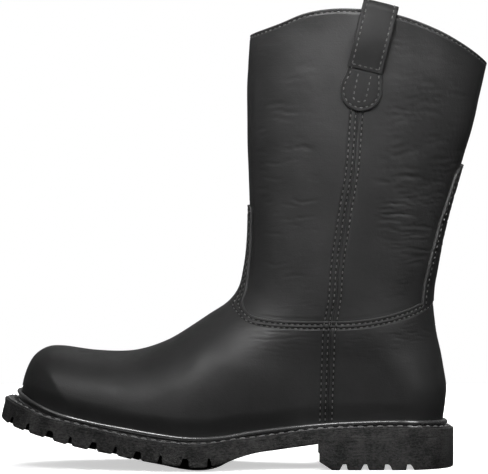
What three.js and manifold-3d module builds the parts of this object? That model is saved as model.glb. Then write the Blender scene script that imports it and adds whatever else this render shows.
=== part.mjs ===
// A left pull-on work boot with a steel toe cap, millimetres, +Z up.
// The toe points to -Y, the heel to +Y, and the outer (lateral) side faces +X.
// Every leather, lining and stiffener layer is cut from one common upper surface,
// so that layers nest inside each other with even gaps.
import * as THREE from "three";
import { mergeVertices } from "three/addons/utils/BufferGeometryUtils.js";
import Module from "manifold-3d";

const wasm = await Module();
wasm.setup();

// ---------------------------------------------------------------- driving dimensions

const GAP = 0.3; // clearance between neighbouring pieces
const FAR = 400; // reach of a cutting prism, well past the boot

// Side-view lines of the upper, as [y, z], in the plane of symmetry.
const FRONT_LINE = [
  [-158.5, 48], [-157.7, 59], [-154, 70.5], [-148.5, 79], [-140, 84], [-130, 84.8],
  [-106, 81.6], [-78, 81.5], [-55, 88.7], [-32, 102.5], [-10, 116.2], [-2.3, 126.5], [1.3, 141],
  [3.3, 158], [3.9, 185], [3.3, 205], [2.5, 235], [2.5, 272], [4.3, 305.4],
];
const BACK_LINE = [
  [141, 33.1], [142.6, 45], [143.4, 56], [141.3, 70.5], [139, 83], [135, 99.5], [132.8, 113],
  [133.2, 125.5], [135.2, 138.6], [142.4, 172.6], [151.8, 206.7], [161.9, 240.7], [169.6, 274.7],
  [172.3, 285.3],
];
// Heights along the boot, as [y, z].
const TOP_LINE = [
  [4.3, 305.4], [14.4, 307.9], [25.7, 311.4], [42.4, 317.5], [59, 320.2], [76, 320.4],
  [95, 318.7], [114.5, 314], [137, 305.5], [154.5, 296.4], [172.3, 285.3],
];
const BEAD_TOP = [
  [-158, 53.5], [-143, 45.8], [-126, 39.5], [-103, 34.1], [-82, 30.5], [-60, 26.9], [-39, 24.3],
  [-17, 24.5], [5, 27.8], [28, 30.4], [51, 32.6], [74, 34], [109, 34.8], [145, 33.4],
];
const OUTSOLE_TOP = [
  [-172, 49], [-160, 45.3], [-136, 36.3], [-121, 33], [-103, 28.8], [-81, 24.3], [-60, 20.8],
  [-38, 18.8], [-22, 19], [-5, 21.4], [5, 22.2], [28, 25.1], [51, 27.9], [74, 29], [114, 29.5],
  [149, 27.8],
];
const OUTSOLE_BOTTOM = [
  [-172, 34], [-164, 30.3], [-152, 26.6], [-137, 22.3], [-123, 18.4], [-108, 15], [-90, 11.8],
  [-77, 8.9], [-60, 6.2], [-43, 3.9], [-30, 3.0], [-18, 4.3], [-9, 7.8], [9, 12.6], [22, 14.3],
  [40, 16.6], [60, 18.8], [149, 18.8],
];
const SOLE_CROWN = 3; // how far the sole's middle hangs below its edges
const CROWN_SHARE = 0.62; // share of the sole's width that is flat underneath

// Half widths of the upper to each side of its ridge, as [y, mm], and the ridge's own offset.
const LATERAL_WIDTH = [
  [-160, 45], [-115, 49], [-75, 53], [-35, 53], [0, 45], [30, 38], [60, 35], [105, 33.5], [150, 33],
];
const MEDIAL_WIDTH = [
  [-160, 43], [-115, 46], [-65, 49], [-35, 46], [0, 38], [30, 34], [60, 33.5], [105, 33.5], [150, 33],
];
const RIDGE_OFFSET = [[-160, -9], [-110, -7.5], [-50, -3.5], [0, -1], [30, 0], [150, 0]];
const SHAFT_WIDTH = [[95, 36], [113, 36], [150, 37], [200, 39], [260, 41], [325, 42.3]];
const SHAFT_HALF_LENGTH = [[113, 66], [208, 75], [303, 84]]; // as [z, mm]
const SHAFT_BLEND = [68, 128]; // heights over which the foot's shape becomes the shaft's
const BLEND_LEAN = 0.35; // how much lower that change is towards the heel, per mm along the boot
const BLEND_REACH = 60; // the lean stops this far to either side of y = 0
const INSTEP_BLEND = [-125, 0]; // y range over which the toe's rounding becomes the instep's
const HEEL_BLEND = [50, 120]; // z range over which the heel's rounding becomes the shaft's
const TOE_DOME = 46; // rounding length at the toe
const INSTEP_DOME = 70; // rounding length at the instep
const HEEL_DOME = 33; // rounding length at the heel
const FOOT_SQUARENESS = 2.3; // superellipse exponent, 2 is round
const TUCK = 0.05; // how far the upper draws in where it meets the welt
const TUCK_HEIGHT = 15;

const AROUND = 16; // cells from the front line to the back line, on each side
const RINGS = 17; // cells from the welt to the top edge
const BACK_EASE = 1.7; // rings lie closer together low on the back line
const FOOT_BOW_SHARE = 0.34; // share of the rise over which rings follow the welt's curve
const TOP_BOW_SHARE = 0.28; // share of the rise over which rings follow the top edge's curve

// Seams of the upper, in the side view.
const SIDE_SEAM = [
  [58.4, 0], [58.6, 34], [59.8, 70], [61, 98], [64.6, 118], [66.3, 141], [71.5, 176], [77, 210.6],
  [80, 248.7], [85, 285], [91, 335],
];
const FOOT_SEAM = [
  [-8, 119], [-1, 113], [3.5, 108.6], [8, 106.3], [22.9, 104], [40, 103.3], [60, 103.3],
  [71, 103.4], [86, 104.7], [99, 107], [109.4, 109.8], [120.2, 113.8], [131.4, 119.8], [150, 133],
];
const TONGUE = [[100, 24], [111, 19.5], [118, 16], [130, 12], [144, 10], [165, 9], [180, 9]];
const TONGUE_TIP = 185;
const BACKSTAY = [[95, 18], [118, 17], [143, 15.5], [167, 13.5], [190, 11.5], [202, 10]];
const BACKSTAY_TIP = 214;
const TONGUE_REACH = 40; // the tongue's outline cuts only what is in front of this y
const BACKSTAY_REACH = 90; // the backstay's outline cuts only what is behind this y
const SEAM_TAPE = { halfWidth: 7, bottom: 112, top: 300 };

// Layers of the upper: distance of each layer's two faces outside (+) or inside (-) the surface.
const LEATHER = [0, -2];
const TAPE = [-2.4, -2.9];
const STIFFENER = [-2.4, -4];
const CAP = [-2.4, -4.2];
const FOOT_LINING = [-4.6, -5.8];
const SHAFT_LINING = [-3.4, -4.6];
const OVERLAY = [0.4, 2.2];
const CAP_REAR = -97; // rear edge of the steel cap
const GASKET_WIDTH = 7;

// Sole: how far the outsole's edge stands out past the upper, as [y, mm].
const SOLE_MARGIN = [[-172, 13], [-150, 11.5], [-120, 10.5], [-40, 9.5], [20, 8], [60, 7.5], [150, 7.5]];
const TOE_FLARE = 2.5; // how much further out the outsole's lower edge is at the toe
const TOE_FLARE_SPAN = [-160, -125]; // y range over which that flare dies out
const MIDSOLE = { inset: 6, bottom: 0.4, top: 1.4 };
const WELT = { inset: 2.6, inner: -6, bottom: 1.8, top: 3.4 };
const STITCHING = { inset: 3.2, width: 1, height: 0.6 };
const BEAD_WIDTH = 3; // the storm welt's bead stands this far out from the upper
const UPPER_STANDS = 3.7; // the upper's lower edge, above the outsole's top
const INSOLE = { inset: -7.2, bottom: 3.9, top: 6 };
const FOOTBED = { inset: -7.4, bottom: 6.4, top: 11.4 };
const FOOTBED_COVER = { inset: -7.4, bottom: 11.7, top: 12.5 };
const SHANK = { halfWidth: 8, front: -8, rear: 92 };
const STIFFENER_SHAPE = [[70, 0], [70, 62], [84, 86], [150, 94], [150, 0]];

const HEEL_FRONT = 53;
const HEEL_TOP = 22;
const BREAST_RADIUS = 130;
const BREAST_DEPTH = 5.5;
const HEEL_CHAMFER = { length: 9, height: 6 };

// Tread: side notches of the forepart alternate wide and narrow, each at its y.
const NARROW_NOTCHES = [-163.5, -151, -120.3, -88.5, -57.1, -22.6];
const WIDE_NOTCHES = [-134.9, -103.9, -73, -40];
const NOTCH_WIDE = 4.8;
const NOTCH_NARROW = 2.4;
const NOTCH_DEPTH = 5;
const NOTCH_LENGTH = 17;
const NOTCH_CORE = 8; // no notch comes nearer than this to the middle of the boot
const CHANNEL_WIDTH = 5;
const TREAD_REAR = -14;
const BAR_GROOVE = 4;
const HEEL_NOTCHES = [70, 84.7, 100.7, 116];
const HEEL_NOTCH_WIDTH = 4.2;
const HEEL_NOTCH_DEPTH = 4.5;

const NAIL_RADIUS = 1.3;
const NAIL_BOTTOM = 8;
const NAIL_PLACES = [[-17, 78], [17, 78], [-20, 105], [20, 105], [0, 126]];

const STRAP = { width: 25, thickness: 2.2, tilt: 14, y: 89, z: 296, top: 325.6, outer: 277.2, inner: 288 };
const STRAP_CLEAR = 0.8; // clearance between a strap's legs and the shaft's wall
const TAB = { halfWidth: 14.7, topHalfWidth: 13.3, tip: 249, top: 273.5, y: 82, tilt: 12 };

// ---------------------------------------------------------------- colours and finishes

const FINISHES = {
  leather: { color: 0x17171a, roughness: 0.5, metalness: 0 },
  lining: { color: 0xb9a98c, roughness: 0.95, metalness: 0 },
  rubber: { color: 0x1b1b1c, roughness: 0.8, metalness: 0 },
  welt: { color: 0x121213, roughness: 0.35, metalness: 0 },
  thread: { color: 0xb8b8b4, roughness: 0.8, metalness: 0 },
  steel: { color: 0x9a9da0, roughness: 0.35, metalness: 1 },
  board: { color: 0x8d7a5e, roughness: 0.9, metalness: 0 },
  cork: { color: 0xa8794a, roughness: 0.95, metalness: 0 },
  stiffener: { color: 0xd8d2c4, roughness: 0.7, metalness: 0 },
  foam: { color: 0x2e3238, roughness: 0.95, metalness: 0 },
  cover: { color: 0x3a3a3c, roughness: 0.9, metalness: 0 },
};

// ---------------------------------------------------------------- small helpers

const clamp = (value, low, high) => Math.min(high, Math.max(low, value));
const mix = (a, b, share) => a + (b - a) * share;

function smoothstep(low, high, value) {
  const t = clamp((value - low) / (high - low), 0, 1);
  return t * t * (3 - 2 * t);
}

// A smooth function of one variable through the given points.
function throughPoints(points) {
  const slope = (i) => {
    const before = points[Math.max(i - 1, 0)];
    const after = points[Math.min(i + 1, points.length - 1)];
    return (after[1] - before[1]) / (after[0] - before[0]);
  };
  return (value) => {
    const x = clamp(value, points[0][0], points.at(-1)[0]);
    let i = 0;
    while (i < points.length - 2 && x > points[i + 1][0]) i += 1;
    const [x0, y0] = points[i];
    const [x1, y1] = points[i + 1];
    const span = x1 - x0;
    const t = (x - x0) / span;
    const bend0 = slope(i) * span;
    const bend1 = slope(i + 1) * span;
    const t2 = t * t;
    const t3 = t2 * t;
    const ends = (2 * t3 - 3 * t2 + 1) * y0 + (3 * t2 - 2 * t3) * y1;
    return ends + (t3 - 2 * t2 + t) * bend0 + (t3 - t2) * bend1;
  };
}

// A smooth side-view curve through the given [y, z] points.
function sideCurve(points) {
  const vectors = points.map(([y, z]) => new THREE.Vector3(0, y, z));
  return new THREE.CatmullRomCurve3(vectors, false, "centripetal");
}

function distanceTo(samples, y, z) {
  let nearest = Infinity;
  for (let i = 0; i < samples.length - 1; i += 1) {
    const a = samples[i];
    const b = samples[i + 1];
    const dy = b.y - a.y;
    const dz = b.z - a.z;
    const t = clamp(((y - a.y) * dy + (z - a.z) * dz) / (dy * dy + dz * dz), 0, 1);
    nearest = Math.min(nearest, Math.hypot(y - a.y - t * dy, z - a.z - t * dz));
  }
  return nearest;
}

// Rise of a superellipse's quarter from 0 at its rim to 1 at its middle.
function dome(share, squareness) {
  const left = 1 - clamp(share, 0, 1);
  return (1 - left ** squareness) ** (1 / squareness);
}

// ---------------------------------------------------------------- solids and booleans

function solid(geometry) {
  const bare = new THREE.BufferGeometry();
  bare.setAttribute("position", geometry.getAttribute("position"));
  if (geometry.index) bare.setIndex(geometry.index);
  const merged = mergeVertices(bare, 1e-4);
  return new wasm.Manifold(
    new wasm.Mesh({
      numProp: 3,
      vertProperties: new Float32Array(merged.attributes.position.array),
      triVerts: new Uint32Array(merged.index.array),
    }),
  );
}

function geometryOf(manifold) {
  const mesh = manifold.getMesh();
  const geometry = new THREE.BufferGeometry();
  geometry.setAttribute("position", new THREE.BufferAttribute(mesh.vertProperties, 3));
  geometry.setIndex(new THREE.BufferAttribute(mesh.triVerts, 1));
  const flat = geometry.toNonIndexed();
  flat.computeVertexNormals();
  return flat;
}

// The largest body of a cut piece, without slivers that a cut leaves behind.
function mainBody(manifold) {
  return manifold.decompose().reduce((best, body) => (body.volume() > best.volume() ? body : best));
}

function indexed(vertices, triangles) {
  const geometry = new THREE.BufferGeometry();
  geometry.setAttribute("position", new THREE.Float32BufferAttribute(vertices.flat(), 3));
  geometry.setIndex(triangles);
  return geometry;
}

function box(low, high) {
  const size = high.map((value, i) => value - low[i]);
  const geometry = new THREE.BoxGeometry(...size);
  geometry.translate(...high.map((value, i) => (value + low[i]) / 2));
  return solid(geometry);
}

// A prism with the given outline in the side view (y, z), from x = low to x = high.
function sidePrism(outline, low = -FAR, high = FAR) {
  const shape = new THREE.Shape(outline.map(([y, z]) => new THREE.Vector2(y, z)));
  const geometry = new THREE.ExtrudeGeometry(shape, { depth: high - low, bevelEnabled: false });
  const axes = new THREE.Matrix4().makeBasis(
    new THREE.Vector3(0, 1, 0),
    new THREE.Vector3(0, 0, 1),
    new THREE.Vector3(1, 0, 0),
  );
  geometry.applyMatrix4(axes);
  geometry.translate(low, 0, 0);
  return solid(geometry);
}

// A prism with the given outline in the front view (x, z), from y = low to y = high.
function frontPrism(outline, low, high) {
  const shape = new THREE.Shape(outline.map(([x, z]) => new THREE.Vector2(x, z)));
  const geometry = new THREE.ExtrudeGeometry(shape, { depth: high - low, bevelEnabled: false });
  const axes = new THREE.Matrix4().makeBasis(
    new THREE.Vector3(1, 0, 0),
    new THREE.Vector3(0, 0, 1),
    new THREE.Vector3(0, -1, 0),
  );
  geometry.applyMatrix4(axes);
  geometry.translate(0, high, 0);
  return solid(geometry);
}

// ---------------------------------------------------------------- the upper's surface

const frontCurve = sideCurve(FRONT_LINE);
const backCurve = sideCurve(BACK_LINE);
const frontSamples = frontCurve.getSpacedPoints(90);
const backSamples = backCurve.getSpacedPoints(60);
const topLine = throughPoints(TOP_LINE);
const beadTop = throughPoints(BEAD_TOP);
const outsoleTop = throughPoints(OUTSOLE_TOP);
const outsoleBottom = throughPoints(OUTSOLE_BOTTOM);
const lateralWidth = throughPoints(LATERAL_WIDTH);
const medialWidth = throughPoints(MEDIAL_WIDTH);
const ridgeOffset = throughPoints(RIDGE_OFFSET);
const shaftWidth = throughPoints(SHAFT_WIDTH);
const shaftHalfLength = throughPoints(SHAFT_HALF_LENGTH);
const soleMargin = throughPoints(SOLE_MARGIN);
const upperFoot = (y) => outsoleTop(y) + UPPER_STANDS;

// The point of the upper at side-view place (y, z); side is +1 outside, -1 inside.
function upperPoint(y, z, side) {
  const lean = BLEND_LEAN * clamp(y, -BLEND_REACH, BLEND_REACH);
  const intoShaft = smoothstep(...SHAFT_BLEND, z + lean);
  const footWidth = side > 0 ? lateralWidth(y) : medialWidth(y);
  const width = mix(footWidth, shaftWidth(z), intoShaft);
  const halfLength = shaftHalfLength(z);
  const frontFoot = mix(TOE_DOME, INSTEP_DOME, smoothstep(...INSTEP_BLEND, y));
  const frontDome = mix(frontFoot, halfLength, intoShaft);
  const backDome = mix(HEEL_DOME, halfLength, smoothstep(...HEEL_BLEND, z));
  const squareness = mix(FOOT_SQUARENESS, 2, intoShaft);
  const front = dome(distanceTo(frontSamples, y, z) / frontDome, squareness);
  const back = dome(distanceTo(backSamples, y, z) / backDome, 2);
  const tuck = 1 - TUCK * (1 - smoothstep(0, TUCK_HEIGHT, z - upperFoot(y)));
  const ridge = ridgeOffset(y) * (1 - intoShaft);
  return new THREE.Vector3(ridge + side * width * front * back * tuck, y, z);
}

// Closed rings round the boot, from the welt to the top edge.
function upperRings() {
  const rings = [];
  const feet = [frontCurve.getPointAt(0), backCurve.getPointAt(0)];
  const tops = [frontCurve.getPointAt(1), backCurve.getPointAt(1)];
  for (let r = 0; r <= RINGS; r += 1) {
    const rise = r / RINGS;
    const p = frontCurve.getPointAt(rise);
    const q = backCurve.getPointAt(rise ** BACK_EASE);
    const likeFoot = 1 - smoothstep(0, FOOT_BOW_SHARE, rise);
    const likeTop = smoothstep(1 - TOP_BOW_SHARE, 1, rise);
    const sideHalf = (side) => {
      const points = [];
      for (let a = 0; a <= AROUND; a += 1) {
        const share = (1 - Math.cos((Math.PI * a) / AROUND)) / 2;
        const y = mix(p.y, q.y, share);
        const footY = mix(feet[0].y, feet[1].y, share);
        const topY = mix(tops[0].y, tops[1].y, share);
        const footBow = upperFoot(footY) - mix(upperFoot(feet[0].y), upperFoot(feet[1].y), share);
        const topBow = topLine(topY) - mix(topLine(tops[0].y), topLine(tops[1].y), share);
        const z = mix(p.z, q.z, share) + likeFoot * footBow + likeTop * topBow;
        points.push(upperPoint(y, z, side));
      }
      return points;
    };
    const outer = sideHalf(1);
    const inner = sideHalf(-1).slice(1, -1).reverse();
    rings.push([...outer, ...inner]);
  }
  return rings;
}

const rings = upperRings();
const ringSize = rings[0].length;

function ringNormals() {
  return rings.map((ring, r) =>
    ring.map((_, k) => {
      const along = ring[(k + 1) % ringSize].clone().sub(ring[(k + ringSize - 1) % ringSize]);
      const up = rings[Math.min(r + 1, RINGS)][k].clone().sub(rings[Math.max(r - 1, 0)][k]);
      return along.cross(up).normalize();
    }),
  );
}

const normals = ringNormals();

// The whole upper as one layer between two distances from the common surface.
function layer([outer, inner]) {
  const face = (distance) =>
    rings.flatMap((ring, r) =>
      ring.map((point, k) => point.clone().addScaledVector(normals[r][k], distance).toArray()),
    );
  const vertices = [...face(Math.max(outer, inner)), ...face(Math.min(outer, inner))];
  const shift = (RINGS + 1) * ringSize;
  const triangles = [];
  const quad = (a, b, c, d) => triangles.push(a, b, c, a, c, d);
  for (let r = 0; r < RINGS; r += 1) {
    for (let k = 0; k < ringSize; k += 1) {
      const next = (k + 1) % ringSize;
      const [a, b] = [r * ringSize + k, r * ringSize + next];
      const [d, c] = [a + ringSize, b + ringSize];
      quad(a, b, c, d);
      quad(a + shift, d + shift, c + shift, b + shift);
    }
  }
  for (let k = 0; k < ringSize; k += 1) {
    const next = (k + 1) % ringSize;
    const top = RINGS * ringSize;
    quad(k, k + shift, next + shift, next);
    quad(top + k, top + next, top + next + shift, top + k + shift);
  }
  return solid(indexed(vertices, triangles));
}

// ---------------------------------------------------------------- regions of the upper

function curvePoints(points, count = 24) {
  return sideCurve(points).getSpacedPoints(count).map((p) => [p.y, p.z]);
}

// Mirrored outline of a tongue-like piece: half widths going up, then a round tip.
function tongueOutline(halfWidths, tip, grow) {
  const side = halfWidths.map(([z, w]) => [w + grow, z]);
  const [lastZ, lastW] = halfWidths.at(-1);
  const round = [];
  for (let i = 1; i < 6; i += 1) {
    const turn = (Math.PI / 2) * (i / 6);
    const z = mix(lastZ, tip + grow, Math.sin(turn));
    round.push([(lastW + grow) * Math.cos(turn), z]);
  }
  const half = [...side, ...round, [0, tip + grow]];
  const mirrored = half.slice(0, -1).reverse().map(([x, z]) => [-x, z]);
  return [...half, ...mirrored];
}

// Everything of the upper below the foot seam; grow raises the seam.
function belowSeam(grow) {
  const seam = curvePoints(FOOT_SEAM, 18).map(([y, z]) => [y, z + grow]);
  const rear = [FAR, seam.at(-1)[1]];
  return sidePrism([[-FAR, -FAR], [FAR, -FAR], rear, ...seam.reverse(), [-FAR, FOOT_SEAM[0][1]]]);
}

// The same with the tongue that runs up the shaft's front.
function footRegion(grow) {
  const tongue = frontPrism(tongueOutline(TONGUE, TONGUE_TIP, grow), -FAR, TONGUE_REACH);
  return belowSeam(grow).add(tongue);
}

// Everything in front of the side seams, moved by shift along Y.
function frontRegion(shift) {
  const seam = curvePoints(SIDE_SEAM, 10).map(([y, z]) => [y + shift, z]);
  return sidePrism([[-FAR, seam[0][1]], ...seam, [-FAR, seam.at(-1)[1]]]);
}

const frontInside = frontRegion(-GAP / 2);
const frontOutside = frontRegion(GAP / 2);
const footBelow = belowSeam(-GAP / 2);
const footAbove = belowSeam(GAP / 2);

function footPanels(whole, region) {
  const foot = whole.intersect(region);
  return [mainBody(foot.intersect(frontInside)), mainBody(foot.subtract(frontOutside))];
}

function shaftPanels(whole, region) {
  const shaft = whole.subtract(region);
  return [mainBody(shaft.intersect(frontInside)), mainBody(shaft.subtract(frontOutside))];
}

// ---------------------------------------------------------------- the sole's slabs

// The upper's outline where it stands on the welt, grown outward by margin(y) + extra.
function outline(extra, margin = () => 0) {
  const foot = rings[0];
  return foot.map((point, k) => {
    const along = foot[(k + 1) % ringSize].clone().sub(foot[(k + ringSize - 1) % ringSize]);
    const out = new THREE.Vector2(along.y, -along.x).normalize();
    const grow = margin(point.y) + extra;
    return [point.x + out.x * grow, point.y + out.y * grow];
  });
}

// A slab over a closed outline, with heights that depend on y, and a crown underneath.
// Its lower face may have a wider outline of its own.
function slab(edge, bottom, top, crown = 0, lowerEdge = edge) {
  const shares = crown > 0 ? [0, (1 - CROWN_SHARE) / 2, (1 + CROWN_SHARE) / 2, 1] : [0, 1];
  const columns = shares.length;
  const vertices = [];
  for (let a = 0; a <= AROUND; a += 1) {
    for (const [height, drop, loop] of [[top, 0, edge], [bottom, crown, lowerEdge]]) {
      const lateral = loop[a];
      const medial = loop[(ringSize - a) % ringSize];
      shares.forEach((share, i) => {
        const x = mix(medial[0], lateral[0], share);
        const y = mix(medial[1], lateral[1], share);
        const middle = i > 0 && i < columns - 1 ? 1 : 0;
        vertices.push([x, y, height(y) - middle * drop]);
      });
    }
  }
  const triangles = [];
  const quad = (p, q, r, s) => triangles.push(p, q, r, p, r, s);
  const at = (a, face, i) => (a * 2 + face) * columns + i;
  for (let a = 0; a < AROUND; a += 1) {
    for (let i = 0; i < columns - 1; i += 1) {
      quad(at(a, 0, i), at(a, 0, i + 1), at(a + 1, 0, i + 1), at(a + 1, 0, i));
      quad(at(a, 1, i), at(a + 1, 1, i), at(a + 1, 1, i + 1), at(a, 1, i + 1));
    }
    const last = columns - 1;
    quad(at(a, 0, 0), at(a + 1, 0, 0), at(a + 1, 1, 0), at(a, 1, 0));
    quad(at(a, 0, last), at(a, 1, last), at(a + 1, 1, last), at(a + 1, 0, last));
  }
  for (const a of [0, AROUND]) {
    for (let i = 0; i < columns - 1; i += 1) {
      const face = [at(a, 0, i), at(a, 1, i), at(a, 1, i + 1), at(a, 0, i + 1)];
      if (a === AROUND) face.reverse();
      quad(...face);
    }
  }
  return solid(dropFlat(vertices, triangles));
}

// A slab's two end stations are single points, so their zero-area faces are left out.
function dropFlat(vertices, triangles) {
  const key = (i) => vertices[i].map((value) => value.toFixed(3)).join(" ");
  const kept = [];
  for (let i = 0; i < triangles.length; i += 3) {
    const corners = triangles.slice(i, i + 3);
    if (new Set(corners.map(key)).size === 3) kept.push(...corners);
  }
  return indexed(vertices, kept);
}

const above = (height) => (y) => outsoleTop(y) + height;
const level = (height) => () => height;

// A slab over the upper's outline, between two heights above the outsole's top.
const soleLayer = (edge, bottom, top) => slab(edge, above(bottom), above(top));

// ---------------------------------------------------------------- the sole unit

const nailHoles = NAIL_PLACES.map(([x, y]) => {
  const hole = new THREE.CylinderGeometry(NAIL_RADIUS + GAP, NAIL_RADIUS + GAP, FAR, 8);
  hole.rotateX(Math.PI / 2);
  hole.translate(x, y, FAR / 2 + NAIL_BOTTOM - GAP);
  return solid(hole);
});

const nailed = (piece) => nailHoles.reduce((rest, hole) => rest.subtract(hole), piece);

function heelNail([x, y]) {
  const top = outsoleTop(y) + INSOLE.top;
  const nail = new THREE.CylinderGeometry(NAIL_RADIUS, NAIL_RADIUS, top - NAIL_BOTTOM, 8);
  nail.rotateX(Math.PI / 2);
  nail.translate(x, y, (top + NAIL_BOTTOM) / 2);
  return solid(nail);
}

// Side notches, the channel inside them, and the grooves between the middle bars.
function treadGrooves() {
  const places = [...NARROW_NOTCHES, ...WIDE_NOTCHES].sort((a, b) => a - b);
  const notches = places.map((y) => {
    const half = (WIDE_NOTCHES.includes(y) ? NOTCH_WIDE : NOTCH_NARROW) / 2;
    return box([-FAR, y - half, -FAR], [FAR, y + half, outsoleBottom(y) + NOTCH_DEPTH]);
  });
  // A bar groove lies between each two notches, except at the toe's very tip.
  const bars = places.slice(2).map((y, i) => {
    const barY = (y + places[i + 1]) / 2;
    const barTop = outsoleBottom(barY) + NOTCH_DEPTH - SOLE_CROWN;
    return box([-FAR, barY - BAR_GROOVE / 2, -FAR], [FAR, barY + BAR_GROOVE / 2, barTop]);
  });
  const core = box([-NOTCH_CORE, -FAR, -FAR], [NOTCH_CORE, FAR, FAR]);
  const inside = slab(outline(-NOTCH_LENGTH, soleMargin), level(-FAR), level(FAR)).add(core);
  const middle = slab(outline(-NOTCH_LENGTH - CHANNEL_WIDTH, soleMargin), level(-FAR), level(FAR));
  const channelTop = (y) => outsoleBottom(y) + NOTCH_DEPTH - SOLE_CROWN;
  const channel = slab(outline(-NOTCH_LENGTH, soleMargin), level(-FAR), channelTop)
    .subtract(middle)
    .intersect(box([-FAR, -FAR, -FAR], [FAR, TREAD_REAR, FAR]));
  const sides = wasm.Manifold.union(notches).subtract(inside);
  return sides.add(wasm.Manifold.union(bars).intersect(middle)).add(channel);
}

function outsole() {
  const flared = outline(0, (y) => soleMargin(y) + TOE_FLARE * (1 - smoothstep(...TOE_FLARE_SPAN, y)));
  const whole = slab(outline(0, soleMargin), outsoleBottom, outsoleTop, SOLE_CROWN, flared);
  const seat = box([-FAR, HEEL_FRONT - GAP, -FAR], [FAR, FAR, HEEL_TOP + GAP]);
  return mainBody(nailed(whole.subtract(seat).subtract(treadGrooves())));
}

function heelBlock() {
  const edge = outline(0, soleMargin);
  const breast = new THREE.CylinderGeometry(BREAST_RADIUS, BREAST_RADIUS, FAR, 96);
  breast.rotateX(Math.PI / 2);
  breast.translate(0, HEEL_FRONT + BREAST_DEPTH - BREAST_RADIUS, 0);
  const { length, height } = HEEL_CHAMFER;
  const chamfer = sidePrism([
    [HEEL_FRONT - length, 0],
    [HEEL_FRONT - length, -height],
    [HEEL_FRONT + 2 * length, -height],
    [HEEL_FRONT - length, 2 * height],
  ]);
  const notches = HEEL_NOTCHES.map((y) =>
    box([-FAR, y - HEEL_NOTCH_WIDTH / 2, -1], [FAR, y + HEEL_NOTCH_WIDTH / 2, HEEL_NOTCH_DEPTH]),
  );
  const block = slab(edge, level(0), level(HEEL_TOP))
    .intersect(box([-FAR, HEEL_FRONT, -1], [FAR, FAR, FAR]))
    .subtract(solid(breast))
    .subtract(chamfer)
    .subtract(wasm.Manifold.union(notches));
  return mainBody(nailed(block));
}

// The storm welt: a flange under the upper's edge and a bead that rises against its side.
function welt() {
  const upper = layer([GAP, 2 * SHAFT_LINING[1]]);
  const clearance = upper.add(upper.translate([0, 0, -GAP]));
  const flange = soleLayer(outline(-WELT.inset, soleMargin), WELT.bottom, WELT.top);
  const bead = slab(outline(BEAD_WIDTH), above((WELT.bottom + WELT.top) / 2), beadTop);
  const hollow = slab(outline(WELT.inner), level(-FAR), level(FAR));
  return mainBody(flange.add(bead).subtract(hollow).subtract(clearance));
}

function weltStitching() {
  const bottom = WELT.top + GAP;
  const row = (inset) => soleLayer(outline(-inset, soleMargin), bottom, bottom + STITCHING.height);
  const inner = outline(-STITCHING.inset - STITCHING.width, soleMargin);
  return row(STITCHING.inset).subtract(slab(inner, level(-FAR), level(FAR)));
}

function corkFiller() {
  const { halfWidth, front, rear } = SHANK;
  const pocket = box([-halfWidth - GAP, front - GAP, -FAR], [halfWidth + GAP, rear + GAP, FAR]);
  return nailed(soleLayer(outline(WELT.inner - GAP), WELT.bottom, WELT.top).subtract(pocket));
}

function steelShank() {
  const { halfWidth, front, rear } = SHANK;
  const strip = soleLayer(outline(WELT.inner - GAP), WELT.bottom, WELT.top);
  return nailed(strip.intersect(box([-halfWidth, front, -FAR], [halfWidth, rear, FAR])));
}

// ---------------------------------------------------------------- pull straps and backstay

const mirrored = (side) => (side > 0 ? [0, FAR] : [-FAR, 0]);

// The U-shaped patch below a strap, lying on the shaft; side is +1 outside, -1 inside.
function strapTab(overlay, side) {
  const { halfWidth, topHalfWidth, tip, top, y, tilt } = TAB;
  const lean = Math.tan(THREE.MathUtils.degToRad(tilt));
  const centreZ = tip + halfWidth;
  const outlineOfTab = [[y - topHalfWidth, top], [y + topHalfWidth, top]];
  for (let i = 0; i <= 12; i += 1) {
    const turn = (Math.PI * i) / 12;
    outlineOfTab.push([y + halfWidth * Math.cos(turn), centreZ - halfWidth * Math.sin(turn)]);
  }
  const leaning = outlineOfTab.map(([py, pz]) => [py + lean * (pz - centreZ), pz]);
  return mainBody(overlay.intersect(sidePrism(leaning, ...mirrored(side))));
}

// A strap looped over the top edge, with one leg outside the shaft and one inside.
function pullStrap(side) {
  const wall = shaftWidth(STRAP.top);
  const near = wall + STRAP_CLEAR;
  const far = shaftWidth(STRAP.inner) + SHAFT_LINING[1] - STRAP_CLEAR;
  const middle = (near + far) / 2;
  const hollow = (near - far) / 2;
  const archZ = STRAP.top - hollow - STRAP.thickness;
  const shape = [[near, STRAP.outer], [near + STRAP.thickness, STRAP.outer]];
  const arc = (radius, i) => {
    const turn = (Math.PI * i) / 10;
    return [middle + radius * Math.cos(turn), archZ + radius * Math.sin(turn)];
  };
  for (let i = 0; i <= 10; i += 1) shape.push(arc(hollow + STRAP.thickness, i));
  shape.push([far - STRAP.thickness, STRAP.inner], [far, STRAP.inner]);
  for (let i = 10; i >= 0; i -= 1) shape.push(arc(hollow, i));
  const outlineOfStrap = shape.map(([x, z]) => [side * x, z - STRAP.z]);
  const flat = frontPrism(outlineOfStrap, -STRAP.width / 2, STRAP.width / 2);
  return flat.rotate([-STRAP.tilt, 0, 0]).translate([0, STRAP.y, STRAP.z]);
}

function backstay(overlay) {
  const strip = frontPrism(tongueOutline(BACKSTAY, BACKSTAY_TIP, 0), BACKSTAY_REACH, FAR);
  return mainBody(overlay.intersect(strip).subtract(footAbove));
}

// Tape behind a side seam of the shaft.
function seamTape(tape, side) {
  const seam = curvePoints(SIDE_SEAM, 10);
  const { halfWidth, bottom, top } = SEAM_TAPE;
  const front = seam.map(([y, z]) => [y - halfWidth, z]);
  const rear = seam.map(([y, z]) => [y + halfWidth, z]).reverse();
  const strip = [...front, ...rear];
  const span = box([-FAR, -FAR, bottom], [FAR, FAR, top]);
  return mainBody(tape.intersect(sidePrism(strip, ...mirrored(side))).intersect(span));
}

// ---------------------------------------------------------------- the assembly

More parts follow.
